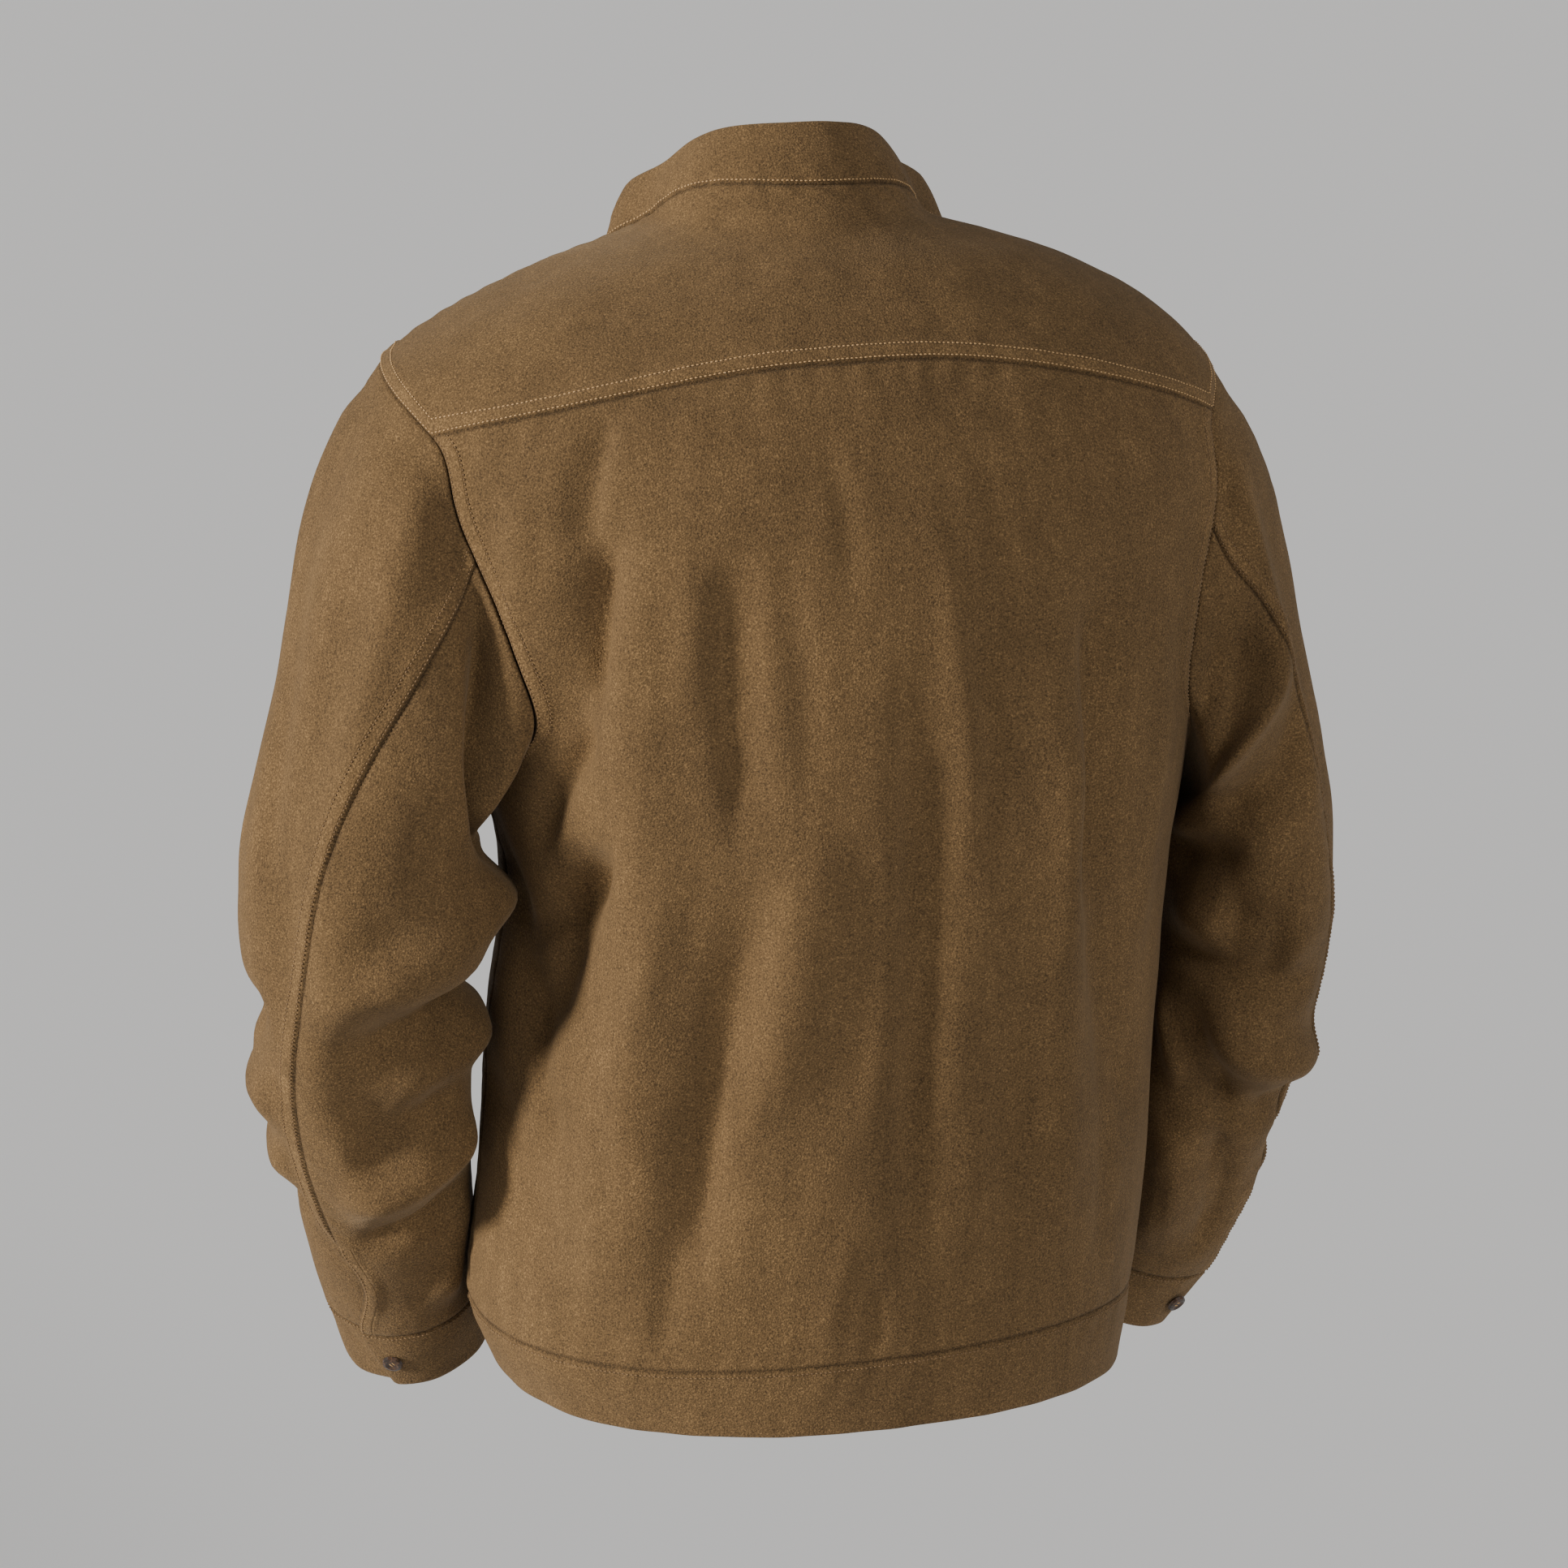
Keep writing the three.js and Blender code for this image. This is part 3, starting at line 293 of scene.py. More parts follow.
def cloth(name, points, thickness, inside, stitched=None, free=()):
    """A piece of cloth from a grid of points on its outer face: its wall, with the turned edges'
    bands, the rolled seams and their pucker. stitched gives each edge's share of topstitching,
    and an edge that is free is sewn to nothing."""
    normal = facing(points)
    outward = np.sign((normal * (points - inside)).sum())
    normal *= outward
    rows, across = points.shape[:2]
    up = np.zeros((rows, across))
    up[1:] = np.cumsum(np.linalg.norm(np.diff(points, axis=0), axis=2), axis=0)
    over = np.zeros((rows, across))
    over[:, 1:] = np.cumsum(np.linalg.norm(np.diff(points, axis=1), axis=2), axis=1)
    distance = {"low": up, "high": up[-1] - up, "first": over, "last": over[:, -1:] - over}
    runs = {"low": over, "high": over, "first": up, "last": up}
    beside_seam = np.min([away for edge, away in distance.items() if edge not in free], axis=0)
    beside_stitches = np.full((rows, across), 60.0)
    lift = UNEVEN * uneven(points, 62, 2.2, 3.1) + 0.45 * UNEVEN * uneven(points, 21, 1.6, 11.7)
    lift *= smooth(beside_seam, 0, 12)
    for edge, away in distance.items():
        share = np.asarray((stitched or {}).get(edge, 0.0), float)
        share = share[:, None] if edge in ("first", "last") and share.ndim else share
        share = np.broadcast_to(share, (rows, across))
        lift += BAND_HEIGHT * share * smooth(away, 0.3, 2.4) * (1 - smooth(away, BAND - 1, BAND + 2.5))
        lift -= SEAM_ROLL * np.exp(-((away / 1.3) ** 2))
        if edge not in free:
            gathers = np.sin(runs[edge] * 2 * math.pi / 17 + 4 * uneven(points, 45, 1, 7.3))
            lift += mix(0.45, 0.3, share) * gathers * smooth(away, 0, 4) * np.exp(-away / 12)
        beside_stitches = np.where(share > 0.5, np.minimum(beside_stitches, away), beside_stitches)
    outer = points + normal * lift[..., None]
    inner = points + normal * (np.minimum(lift, 0) - thickness)[..., None]
    # A sewn edge's allowance runs on a little under its neighbour, so no light comes through.
    for edge, place, beside in (
        ("low", np.s_[0, :], np.s_[1, :]),
        ("high", np.s_[-1, :], np.s_[-2, :]),
        ("first", np.s_[:, 0], np.s_[:, 1]),
        ("last", np.s_[:, -1], np.s_[:, -2]),
    ):
        step = points[beside] - points[place]
        step = step / np.linalg.norm(step, axis=-1, keepdims=True)
        outer[place] += SEAM_INSET * step
        inner[place] += (SEAM_INSET if edge in free else -SEAM_ALLOWANCE) * step
    count = rows * across
    index = np.arange(count).reshape(rows, across)
    corners = np.stack([index[:-1, :-1], index[1:, :-1], index[1:, 1:], index[:-1, 1:]], axis=-1)
    faces = corners.reshape(-1, 4)
    rim = np.concatenate([index[0, :-1], index[:-1, -1], index[-1, :0:-1], index[:0:-1, 0]])
    after = np.roll(rim, -1)
    sides = np.stack([rim, after, after + count, rim + count], axis=-1)
    quads = np.concatenate([faces, faces[:, ::-1] + count, sides])
    if outward < 0:
        quads = quads[:, ::-1]
    vertices = np.concatenate([outer.reshape(-1, 3), inner.reshape(-1, 3)]) / 1000
    mesh = bpy.data.meshes.new(name)
    mesh.from_pydata(vertices.tolist(), [], quads.tolist())
    mesh.polygons.foreach_set("use_smooth", [True] * len(quads))
    mesh.polygons.foreach_set("material_index", [0] * len(faces) + [1] * len(faces) + [0] * len(sides))
    for attribute, values in (("beside_stitches", beside_stitches), ("beside_seam", beside_seam)):
        made = mesh.attributes.new(attribute, "FLOAT", "POINT")
        made.data.foreach_set("value", np.tile(values.ravel(), 2).astype(np.float32))
    piece = bpy.data.objects.new(name, mesh)
    bpy.context.scene.collection.objects.link(piece)
    mesh.materials.append(suede)
    mesh.materials.append(flesh_side)
    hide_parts(name)
    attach(piece, "root")
    cell = np.cross(points[1:, :-1] - points[:-1, :-1], points[:-1, 1:] - points[:-1, :-1])
    return {
        "piece": piece,
        "outer": outer,
        "normal": normal,
        "distance": distance,
        "flat": (over[:, -1].max() / 1000, up[-1].max() / 1000),
        "area": np.linalg.norm(cell, axis=2).sum() / 1e6,
    }


class Shade:
    """A socket of a material's tree. Sums on it add the tree's Math nodes."""

    def __init__(self, tree, socket=None):
        self.tree = tree
        self.socket = socket

    def node(self, kind, settings=None, sockets=None, output=0):
        """A new node, its settings set first and then its sockets' values or links."""
        made = self.tree.nodes.new(kind)
        for name, value in (settings or {}).items():
            setattr(made, name, value)
        for name, value in (sockets or {}).items():
            if isinstance(value, Shade):
                self.tree.links.new(value.socket, made.inputs[name])
            else:
                made.inputs[name].default_value = value
        return Shade(self.tree, made.outputs[output])

    def sum(self, operation, first, second):
        return self.node("ShaderNodeMath", {"operation": operation}, {0: first, 1: second})

    def __add__(self, other):
        return self.sum("ADD", self, other)

    def __radd__(self, other):
        return self.sum("ADD", other, self)

    def __sub__(self, other):
        return self.sum("SUBTRACT", self, other)

    def __rsub__(self, other):
        return self.sum("SUBTRACT", other, self)

    def __mul__(self, other):
        return self.sum("MULTIPLY", self, other)

    def __rmul__(self, other):
        return self.sum("MULTIPLY", other, self)

    def step(self, low, high):
        """A soft step from 0 at low to 1 at high."""
        sockets = {"Value": self, "From Min": low, "From Max": high}
        settings = {"interpolation_type": "SMOOTHSTEP"}
        return self.node("ShaderNodeMapRange", settings, sockets)


def plain(red, green, blue):
    """A screen colour, 0 to 255, as the light that it stands for."""
    parts = [value / 255 for value in (red, green, blue)]
    linear = [p / 12.92 if p <= 0.04045 else ((p + 0.055) / 1.055) ** 2.4 for p in parts]
    return (*linear, 1)


def finish(name):
    """A new material's shader and the Shade that its tree is written with."""
    material = bpy.data.materials.new(name)
    material.use_nodes = True
    return material, material.node_tree.nodes["Principled BSDF"], Shade(material.node_tree)


def colour_mix(shade, factor, first, second, blend="MIX"):
    settings = {"data_type": "RGBA", "blend_type": blend}
    sockets = {0: factor, 6: first, 7: second}
    return shade.node("ShaderNodeMix", settings, sockets, output=2)


def cloud(shade, place, scale, detail=2.0, rough=0.5, distortion=0.0):
    sockets = {"Vector": place, "Scale": scale, "Detail": detail, "Roughness": rough, "Distortion": distortion}
    return shade.node("ShaderNodeTexNoise", {}, sockets)


SUEDE_DARK = plain(62, 48, 31)
SUEDE_MIDDLE = plain(97, 76, 50)
SUEDE_LIGHT = plain(146, 116, 78)


def suede_finish(name, dark, middle, light, grain_depth):
    """Brushed suede: a warm brown nap that lies this way and that, with a fine pebble under it."""
    material, shader, shade = finish(name)
    place = shade.node("ShaderNodeTexCoord", output=3)
    drawn = shade.node("ShaderNodeVectorMath", {"operation": "MULTIPLY"}, {0: place, 1: (1, 1, 0.16)})
    patches = cloud(shade, place, 11, 3, 0.5)
    brushed = cloud(shade, place, 75, 4, 0.6, 0.5)
    streaks = cloud(shade, drawn, 80, 3, 0.6)
    grain = cloud(shade, place, 1000, 2, 0.6)
    pebble = shade.node("ShaderNodeTexVoronoi", {"feature": "F1"}, {"Vector": place, "Scale": 900.0})
    nap = 0.5 + (patches - 0.5) * 0.3 + (brushed - 0.5) * 0.2 + (streaks - 0.5) * 0.25
    nap = nap + (grain - 0.5) * 1.5
    seam = shade.node("ShaderNodeAttribute", {"attribute_name": "beside_seam"}, output=2)
    stitches = shade.node("ShaderNodeAttribute", {"attribute_name": "beside_stitches"}, output=2)
    rubbed = 1 - seam.step(0.2, 2.4)
    band = (1 - stitches.step(9.5, 12.5)) * stitches.step(0.6, 2.0)
    nap = nap + band * 0.07 - rubbed * 0.22
    low = colour_mix(shade, nap.step(0.1, 0.55), dark, middle)
    high = colour_mix(shade, nap.step(0.5, 1.05), low, light)
    row_one = (stitches - 2.2).node("ShaderNodeMath", {"operation": "ABSOLUTE"}, {0: stitches - 2.2})
    row_two = (stitches - 9.5).node("ShaderNodeMath", {"operation": "ABSOLUTE"}, {0: stitches - 9.5})
    groove = (1 - row_one.step(0.1, 1.0)) + (1 - row_two.step(0.1, 1.0))
    height = grain * 0.5 - pebble * 0.35 + brushed * 0.35 - groove * 0.5
    bump = shade.node(
        "ShaderNodeBump", {}, {"Strength": grain_depth, "Distance": 0.0009, "Height": height}
    )
    rough = 0.86 + (grain - 0.5) * 0.16
    links = material.node_tree.links
    links.new(high.socket, shader.inputs["Base Color"])
    links.new(rough.socket, shader.inputs["Roughness"])
    links.new(bump.socket, shader.inputs["Normal"])
    shader.inputs["Specular IOR Level"].default_value = 0.12
    shader.inputs["Sheen Weight"].default_value = 0.13
    shader.inputs["Sheen Roughness"].default_value = 0.45
    shader.inputs["Sheen Tint"].default_value = (1.0, 0.76, 0.5, 1)
    return material


suede = suede_finish("suede", SUEDE_DARK, SUEDE_MIDDLE, SUEDE_LIGHT, 0.8)
flesh_side = suede_finish("suede_inside", plain(44, 32, 24), plain(70, 52, 38), plain(94, 72, 52), 0.35)
BODY_MIDDLE = np.array([0, 0, -330])


def back_grid():
    """The back's grid: the hem seam is its low edge, the yoke seam its high one."""
    seam_rows, hole_rows = 13, 10
    last = seam_rows + hole_rows
    row = lines((0, seam_rows, 306), (seam_rows, last, 235))
    turned_at = mix(UNDERARM_ROUND, YOKE_ROUND, np.clip((row - seam_rows) / hole_rows, 0, 1))
    on_seam = row <= seam_rows
    underarm_z = armhole["z"](UNDERARM_ROUND)
    edge_turn = np.where(on_seam, armhole["turn"](UNDERARM_ROUND), armhole["turn"](turned_at))
    edge_z = np.where(on_seam, mix(HEM_SEAM_Z, underarm_z, row / seam_rows), armhole["z"](turned_at))
    share = lines((-1, 1, 530))
    turn = share[None, :] * edge_turn[:, None]
    rise = row[:, None] / last
    z = mix(HEM_SEAM_Z, yoke_z(turn), rise)
    off = edge_z[:, None] - mix(HEM_SEAM_Z, yoke_z(edge_turn)[:, None], rise)
    return body_point(turn, z + np.abs(share) ** 3 * off), smooth(row, seam_rows - 0.2, seam_rows + 0.2)


back_points, back_hole = back_grid()
back = cloth("back_panel", back_points, SUEDE, BODY_MIDDLE, {"first": back_hole, "last": back_hole})

# The yoke: one piece over both shoulders, laid on the back and topstitched to it with two rows.
# It ends in front at the shoulder seams and above at the neck seam.
SHOULDER_ROUND = -90
NECK_SIDE, NECK_BACK, NECK_FRONT, NECK_SHOULDER_TURN = -2, 16, -66, 97


def neck_z(turn):
    forward = np.cos(np.radians(turn))
    slope = (NECK_BACK - NECK_FRONT) / 2
    dip = NECK_SIDE - (NECK_BACK + NECK_FRONT) / 2
    return NECK_SIDE + slope * forward - dip * forward * forward


def yoke_grid():
    """The yoke's grid: its low edge runs up one armhole, along the back seam and down the other."""
    place = lines((-2, -1, 66), (-1, 1, 440), (1, 2, 66))
    at_hole = np.abs(place) > 1
    hole_round = mix(YOKE_ROUND, SHOULDER_ROUND, np.clip(np.abs(place) - 1, 0, 1))
    seam_turn = armhole["turn"](YOKE_ROUND)
    low_turn = np.where(at_hole, np.sign(place) * armhole["turn"](hole_round), place * seam_turn)
    low_z = np.where(at_hole, armhole["z"](hole_round), yoke_z(np.clip(place, -1, 1) * seam_turn))
    neck_turn = low_turn * NECK_SHOULDER_TURN / armhole["turn"](SHOULDER_ROUND)
    rise = lines((0, 1, 165))[:, None]
    return body_point(mix(low_turn, neck_turn, rise), mix(low_z, neck_z(neck_turn), rise))


yoke = cloth("back_yoke", yoke_grid(), SUEDE, np.array([0, -20, -150]), {"low": 1.0})

# The two fronts: each runs from its side seam to the middle and from the shoulder to the hem band.
# The left one laps over the right one. They are plain, with two rows along the closing edge.
FRONT_LAP = 6


def place_of(point):
    """The turn and the height on the body that lie level with a point."""
    x, y, level = point[..., 0], point[..., 1], point[..., 2]
    z = level + TWIST * x * y + body_ring["lean"](level) * x
    return np.degrees(np.arctan2(x - body_ring["sway"](z), y - body_ring["nod"](z))), z


def front_grid(side):
    """A front's grid, a patch on the body's surface: the shoulder seam is its high edge, and its last
    edge runs up the closing and then round the neck."""
    seam_rows, closing_rows, last = 13, 20, 28
    row = lines((0, seam_rows, 306), (seam_rows, closing_rows, 150), (closing_rows, last, 150))
    turned_at = wrap_round(mix(UNDERARM_ROUND, 270, np.clip((row - seam_rows) / (last - seam_rows), 0, 1)))
    on_seam = row <= seam_rows
    side_turn = armhole["turn"](UNDERARM_ROUND)
    underarm_z = armhole["z"](UNDERARM_ROUND)
    edge = (
        np.where(on_seam, side_turn, armhole["turn"](turned_at)),
        np.where(on_seam, mix(HEM_SEAM_Z, underarm_z, row / seam_rows), armhole["z"](turned_at)),
    )
    closing = 180 + FRONT_LAP
    on_closing = row <= closing_rows
    neck_turn = mix(closing, NECK_SHOULDER_TURN, np.clip((row - closing_rows) / (last - closing_rows), 0, 1))
    closing_z = mix(HEM_SEAM_Z, neck_z(closing), row / closing_rows)
    inner = (neck_turn, np.where(on_closing, closing_z, neck_z(neck_turn)))
    column = lines((0, 1, 265))
    top = (
        mix(edge[0][-1], NECK_SHOULDER_TURN, column),
        mix(edge[1][-1], neck_z(NECK_SHOULDER_TURN), column),
    )
    w = (row / last)[:, None, None]
    u = column[None, :, None]
    bottom = (mix(side_turn, closing, column), np.full(column.shape, float(HEM_SEAM_Z)))
    left, right_edge, low, high = (body_point(side * turn, z) for turn, z in (edge, inner, bottom, top))
    corners = mix(mix(low[0], low[-1], u), mix(high[0], high[-1], u), w)
    patch = mix(left[:, None], right_edge[:, None], u) + mix(low[None], high[None], w) - corners
    turn, z = place_of(patch)
    turn = (side * turn) % 360
    for place, (edge_turn, edge_z) in (
        ((slice(None), -1), inner),
        ((slice(None), 0), edge),
        ((0, slice(None)), bottom),
        ((-1, slice(None)), top),
    ):
        turn[place] = edge_turn
        z[place] = edge_z
    return body_point(side * turn, z), smooth(row, seam_rows - 0.2, seam_rows + 0.2), on_closing


fronts = {}
for side, side_name in ((1, "left"), (-1, "right")):
    front_points, front_hole, front_closing = front_grid(side)
    stitched = {"first": front_hole, "last": front_closing}
    fronts[side_name] = cloth(f"{side_name}_front", front_points, SUEDE, BODY_MIDDLE, stitched)

# The collar: doubled suede that stands up and leans in round the neck, buttoned at the throat.
# One row of stitches holds it along the neck seam.
DOUBLED_SUEDE = 2.8
COLLAR_HEIGHT = 41
COLLAR_FALL = 0.2
COLLAR_LEAN = 0.38
COLLAR_TAPER = 0.42


def collar_point(turn, rise):
    angle = np.radians(turn)
    base = body_point(turn, neck_z(turn))
    drawn = -COLLAR_TAPER * np.sin(angle), -COLLAR_LEAN - COLLAR_TAPER * np.cos(angle), np.ones(angle.shape)
    direction = np.stack(drawn, axis=-1)
    direction = direction / np.linalg.norm(direction, axis=-1, keepdims=True)
    crown = 2.2 * np.sin(math.pi * rise)
    swell = np.stack([crown * np.sin(angle), crown * np.cos(angle), 0 * angle], axis=-1)
    height = COLLAR_HEIGHT * (1 - COLLAR_FALL * np.sin(angle) ** 2)
    return base + direction * (height * rise)[..., None] + swell


collar_turns, collar_rises = np.meshgrid(lines((-186, 186, 470)), lines((0, 1, COLLAR_HEIGHT)))
collar = cloth(
    "collar",
    collar_point(collar_turns, collar_rises),
    DOUBLED_SUEDE,
    np.array([0, -40, 30]),
    free=("high", "first", "last"),
)

# The hem band: doubled suede all round the hips, lapped and buttoned in front as the fronts are.
HEM_BAND_DEPTH = 42
hem_turns, hem_heights = np.meshgrid(
    lines((-186, 186, 1080)), lines((HEM_SEAM_Z, HEM_SEAM_Z - HEM_BAND_DEPTH, HEM_BAND_DEPTH))
)
hem = cloth(
    "hem_band",
    body_point(hem_turns, hem_heights),
    DOUBLED_SUEDE,
    np.array([0, 0, -625]),
    free=("high", "first", "last"),
)

# The sleeves: an outer and an inner piece each, sewn to the armhole. The outer one is topstitched
# along the back seam, which opens into a short vent above the cuff.
SLEEVE_RING_NAMES = "down x y z wide deep back_seam front_seam"
LEFT_SLEEVE_RINGS = (
    (0, 207, 3, -188, 60, 82, -8, 138),
    (80, 232, 8, -262, 64, 76, -12, 132),
    (155, 246, 14, -335, 66, 70, -26, 128),
    (222, 247, 15, -400, 65, 66, -40, 124),
    (295, 242, -3, -470, 57, 60, -50, 120),
    (382, 227, -42, -545, 51, 54, -40, 118),
    (418, 220, -58, -577, 49, 51, -30, 118),
    (457, 210, -74, -611, 47, 49, -44, 118),
    (500, 199, -93, -650, 44, 45, -28, 118),
)
RIGHT_SLEEVE_RINGS = (
    (0, 207, 3, -188, 60, 82, -8, 138),
    (80, 238, 8, -262, 55, 78, -22, 132),
    (155, 257, 14, -335, 48, 74, -40, 128),
    (222, 259, 12, -400, 46, 71, -50, 124),
    (290, 254, -6, -465, 47, 64, -50, 120),
    (340, 250, -26, -510, 49, 59, -48, 119),
    (383, 249, -44, -548, 51, 55, -44, 118),
    (418, 245, -59, -578, 51, 51, -44, 118),
    (457, 240, -76, -611, 49, 47, -44, 118),
    (500, 228, -94, -650, 45, 43, -34, 118),
)
LEFT_SLEEVE_FOLDS = (
    (-205, 52, 10, 52, 0, 48, 11),
    (-60, 10, -62, 270, 6, 18, -5),
    (205, 178, -20, 208, -8, 19, 13),
    (152, 236, -45, 252, -5, 15, -17),
    (200, 272, -30, 278, -6, 13, 9),
    (70, 288, -30, 308, 0, 17, -9),
    (95, 325, -45, 345, -10, 14, 9),
    (80, 362, -40, 380, -8, 12, -7),
    (70, 355, 10, 445, 12, 15, 7),
    (-70, 238, -150, 250, 0, 13, -7),
    (-62, 288, -150, 295, 0, 14, 7),
    (-62, 330, -150, 340, 0, 13, 6),
    (-62, 362, -150, 370, 0, 12, -7),
)
RIGHT_SLEEVE_FOLDS = (
    (-205, 48, 10, 48, 0, 40, 7),
    (-62, 10, -64, 210, 8, 18, -5),
    (70, 92, -45, 72, 8, 14, 8),
    (70, 124, -40, 112, 10, 17, -10),
    (60, 205, -10, 215, 0, 17, -8),
    (70, 255, -95, 285, 6, 14, 10),
    (60, 290, -70, 312, 6, 14, -9),
    (20, 310, -15, 440, -10, 14, -7),
    (50, 320, 30, 440, -8, 14, 6),
    (-50, 335, -120, 380, 0, 14, -7),
)
LEFT_SLEEVE_CREASES = (
    (-60, -100, 110, 184, 0, 13, -24),
    (82, 176, -22, 198, 3, 11, -8),
    (86, 216, -55, 228, -4, 10, 6),
    (100, 262, -46, 284, -4, 21, -14),
    (-72, -14, -60, 195, -18, 9, -6),
    (-20, 60, -30, 150, 4, 8, -1.8),
    (-100, 60, -110, 200, 5, 10, -1.6),
    (60, 205, 10, 222, 2, 6, -1.8),
    (30, 225, -50, 236, 3, 5, 1.6),
    (80, 262, 10, 262, 2, 6, 1.8),
    (20, 268, -30, 290, 3, 5, -1.8),
    (80, 305, 20, 318, 2, 6, -1.6),
    (40, 340, -30, 362, 4, 5, 1.6),
    (30, 385, 0, 440, 5, 6, -2.0),
    (-20, 395, -32, 440, 2, 5, 1.5),
    (-110, 300, -160, 330, 3, 8, -1.8),
    (-120, 380, -150, 430, 3, 8, 1.6),
)
RIGHT_SLEEVE_CREASES = (
    (84, -44, -32, 102, 0, 12, -11),
    (-30, 86, 60, 88, 0, 9, 7),
    (116, 180, 30, 162, 0, 14, -11),
    (106, 212, -40, 214, -3, 8, 7),
    (108, 234, -44, 234, -3, 8, -9),
    (70, 246, -4, 322, 0, 9, -7),
    (96, 258, 48, 306, 0, 8, 6),
    (40, 60, -20, 50, 3, 7, -1.6),
    (50, 105, -20, 90, 3, 6, -1.6),
    (40, 150, -30, 155, 3, 8, 1.6),
    (50, 180, -20, 195, 3, 7, 1.6),
    (50, 235, -50, 262, 3, 6, -1.8),
    (40, 272, -40, 296, 3, 5, 1.5),
    (0, 320, -20, 420, 4, 5, 1.5),
    (40, 340, 20, 430, 4, 5, -1.6),
    (-110, 100, -120, 260, 5, 10, -1.8),
    (-90, 300, -150, 340, 3, 8, -1.8),
    (-110, 380, -140, 430, 3, 8, 1.6),
)
SLEEVE_MM_PER_DEGREE = 1.15
SLEEVE_BLEND = 170
SLEEVE_CLEARANCE = 1.6
SLEEVE_SOFTNESS = 2
CLEAR_BY = 12
FOLDS_BY = 30
CUFF_START = 457
BACK_SEAM_ROUND = -8
FRONT_SEAM_ROUND = 138
VENT_START = 385
VENT_OPENING = 1.6
VENT_LAP_START = 390
VENT_EASE = 30
CUFF_LAP = 11
SLEEVE_LAP_SHARE = 0.8


def clear_of_body(point):
    """A sleeve's point, moved out to where it is clear of the body."""
    turn, z = place_of(point)
    body = body_point(turn, z)
    middle = np.stack([body_ring["sway"](z), body_ring["nod"](z)], axis=-1)
    away = np.linalg.norm(point[..., :2] - middle, axis=-1)
    off = away - np.linalg.norm(body[..., :2] - middle, axis=-1) - SLEEVE_CLEARANCE
    push = SLEEVE_SOFTNESS * np.log1p(np.exp(np.minimum(-off / SLEEVE_SOFTNESS, 60)))
    moved = point.copy()
    moved[..., 0] += push * np.sin(np.radians(turn))
    moved[..., 1] += push * np.cos(np.radians(turn))
    return moved


def sleeve_point(side, ring, folds, turned, down):
    """A sleeve's surface: turned is 90 on the inner side and 0 at the back, down starts at the armhole."""
    around = wrap_round(turned)
    angle = np.radians(around)

    def middle(at):
        return np.stack([side * ring["x"](at), ring["y"](at), ring["z"](at)], axis=-1)

    tangent = middle(down + 2) - middle(down - 2)
    tangent = tangent / np.linalg.norm(tangent, axis=-1, keepdims=True)
    inner = side * tangent[..., :1] * tangent - np.array([side, 0, 0])
    inner = inner / np.linalg.norm(inner, axis=-1, keepdims=True)
    behind = side * np.cross(tangent, inner)
    wide = (ring["wide"](down) * np.sin(angle))[..., None]
    deep = (ring["deep"](down) * np.cos(angle))[..., None]
    tube = middle(down) + inner * wide + behind * deep
    seam = body_point(side * armhole["turn"](around), armhole["z"](around)) + middle(down) - middle(0 * down)
    point = mix(seam, tube, smooth(down, 0, SLEEVE_BLEND)[..., None])
    across = around * SLEEVE_MM_PER_DEGREE
    lift = fold_height(folds[0], across, down) * FOLD_DEPTH + fold_height(folds[1], across, down)
    lift = lift * smooth(down, 0, FOLDS_BY)
    point = point + (inner * np.sin(angle)[..., None] + behind * np.cos(angle)[..., None]) * lift[..., None]
    return mix(point, clear_of_body(point), smooth(down, 0, CLEAR_BY)[..., None])


def tucked(points, middle, turned, seam, lapped):
    """The points of a sleeve or cuff, with its end laid lower where it goes under its other end."""
    outward = facing(points)
    outward *= np.sign((outward * (points - middle)).sum())
    depth = LAP_STEP * smooth(turned, seam - 38, seam - 4) * lapped
    return points - outward * depth[..., None]


arms = {}
for side, side_name, rings, folds in (
    (1, "left", LEFT_SLEEVE_RINGS, (LEFT_SLEEVE_FOLDS, LEFT_SLEEVE_CREASES)),
    (-1, "right", RIGHT_SLEEVE_RINGS, (RIGHT_SLEEVE_FOLDS, RIGHT_SLEEVE_CREASES)),
):
    ring = curves(SLEEVE_RING_NAMES, rings)
    arm = {"side": side, "ring": ring, "folds": folds}
    downs = lines((0, CUFF_START, CUFF_START))[:, None]
    back_seam, front_seam = ring["back_seam"](downs), ring["front_seam"](downs)
    opening = VENT_OPENING * smooth(downs, VENT_START, VENT_START + VENT_EASE)
    lap = CUFF_LAP * smooth(downs, VENT_LAP_START, VENT_LAP_START + VENT_EASE)
    lapped = SLEEVE_LAP_SHARE * smooth(downs, VENT_LAP_START - VENT_EASE, VENT_LAP_START)
    middle = np.stack([side * ring["x"](downs), ring["y"](downs), ring["z"](downs)], axis=-1)
    above_vent = 1 - smooth(downs[:, 0], VENT_START - 12, VENT_START)
    arm["vent_row"] = int(np.searchsorted(downs[:, 0], VENT_START))
    for part, first, last, start, end, width, stitched in (
        ("upper", FRONT_SEAM_ROUND, 360 + BACK_SEAM_ROUND, front_seam, 360 + back_seam + lap, 250, {"last": above_vent}),
        ("under", BACK_SEAM_ROUND, FRONT_SEAM_ROUND, back_seam + opening, front_seam, 200, {"first": 1 - above_vent}),
    ):
        share = lines((0, 1, width))[None, :]
        turned = mix(mix(first, last, share), mix(start, end, share), smooth(downs, 0, 60))
        points = sleeve_point(side, ring, folds, turned, np.broadcast_to(downs, turned.shape))
        points = tucked(points, middle, turned, 360 + back_seam, lapped)
        arm[part] = cloth(f"{side_name}_{part}_sleeve", points, SUEDE, middle, stitched)
    arms[side_name] = arm

# The cuffs: doubled suede round the wrist. A cuff starts at the back seam and ends under its own
# start, where the button holds it.
CUFF_END = 500

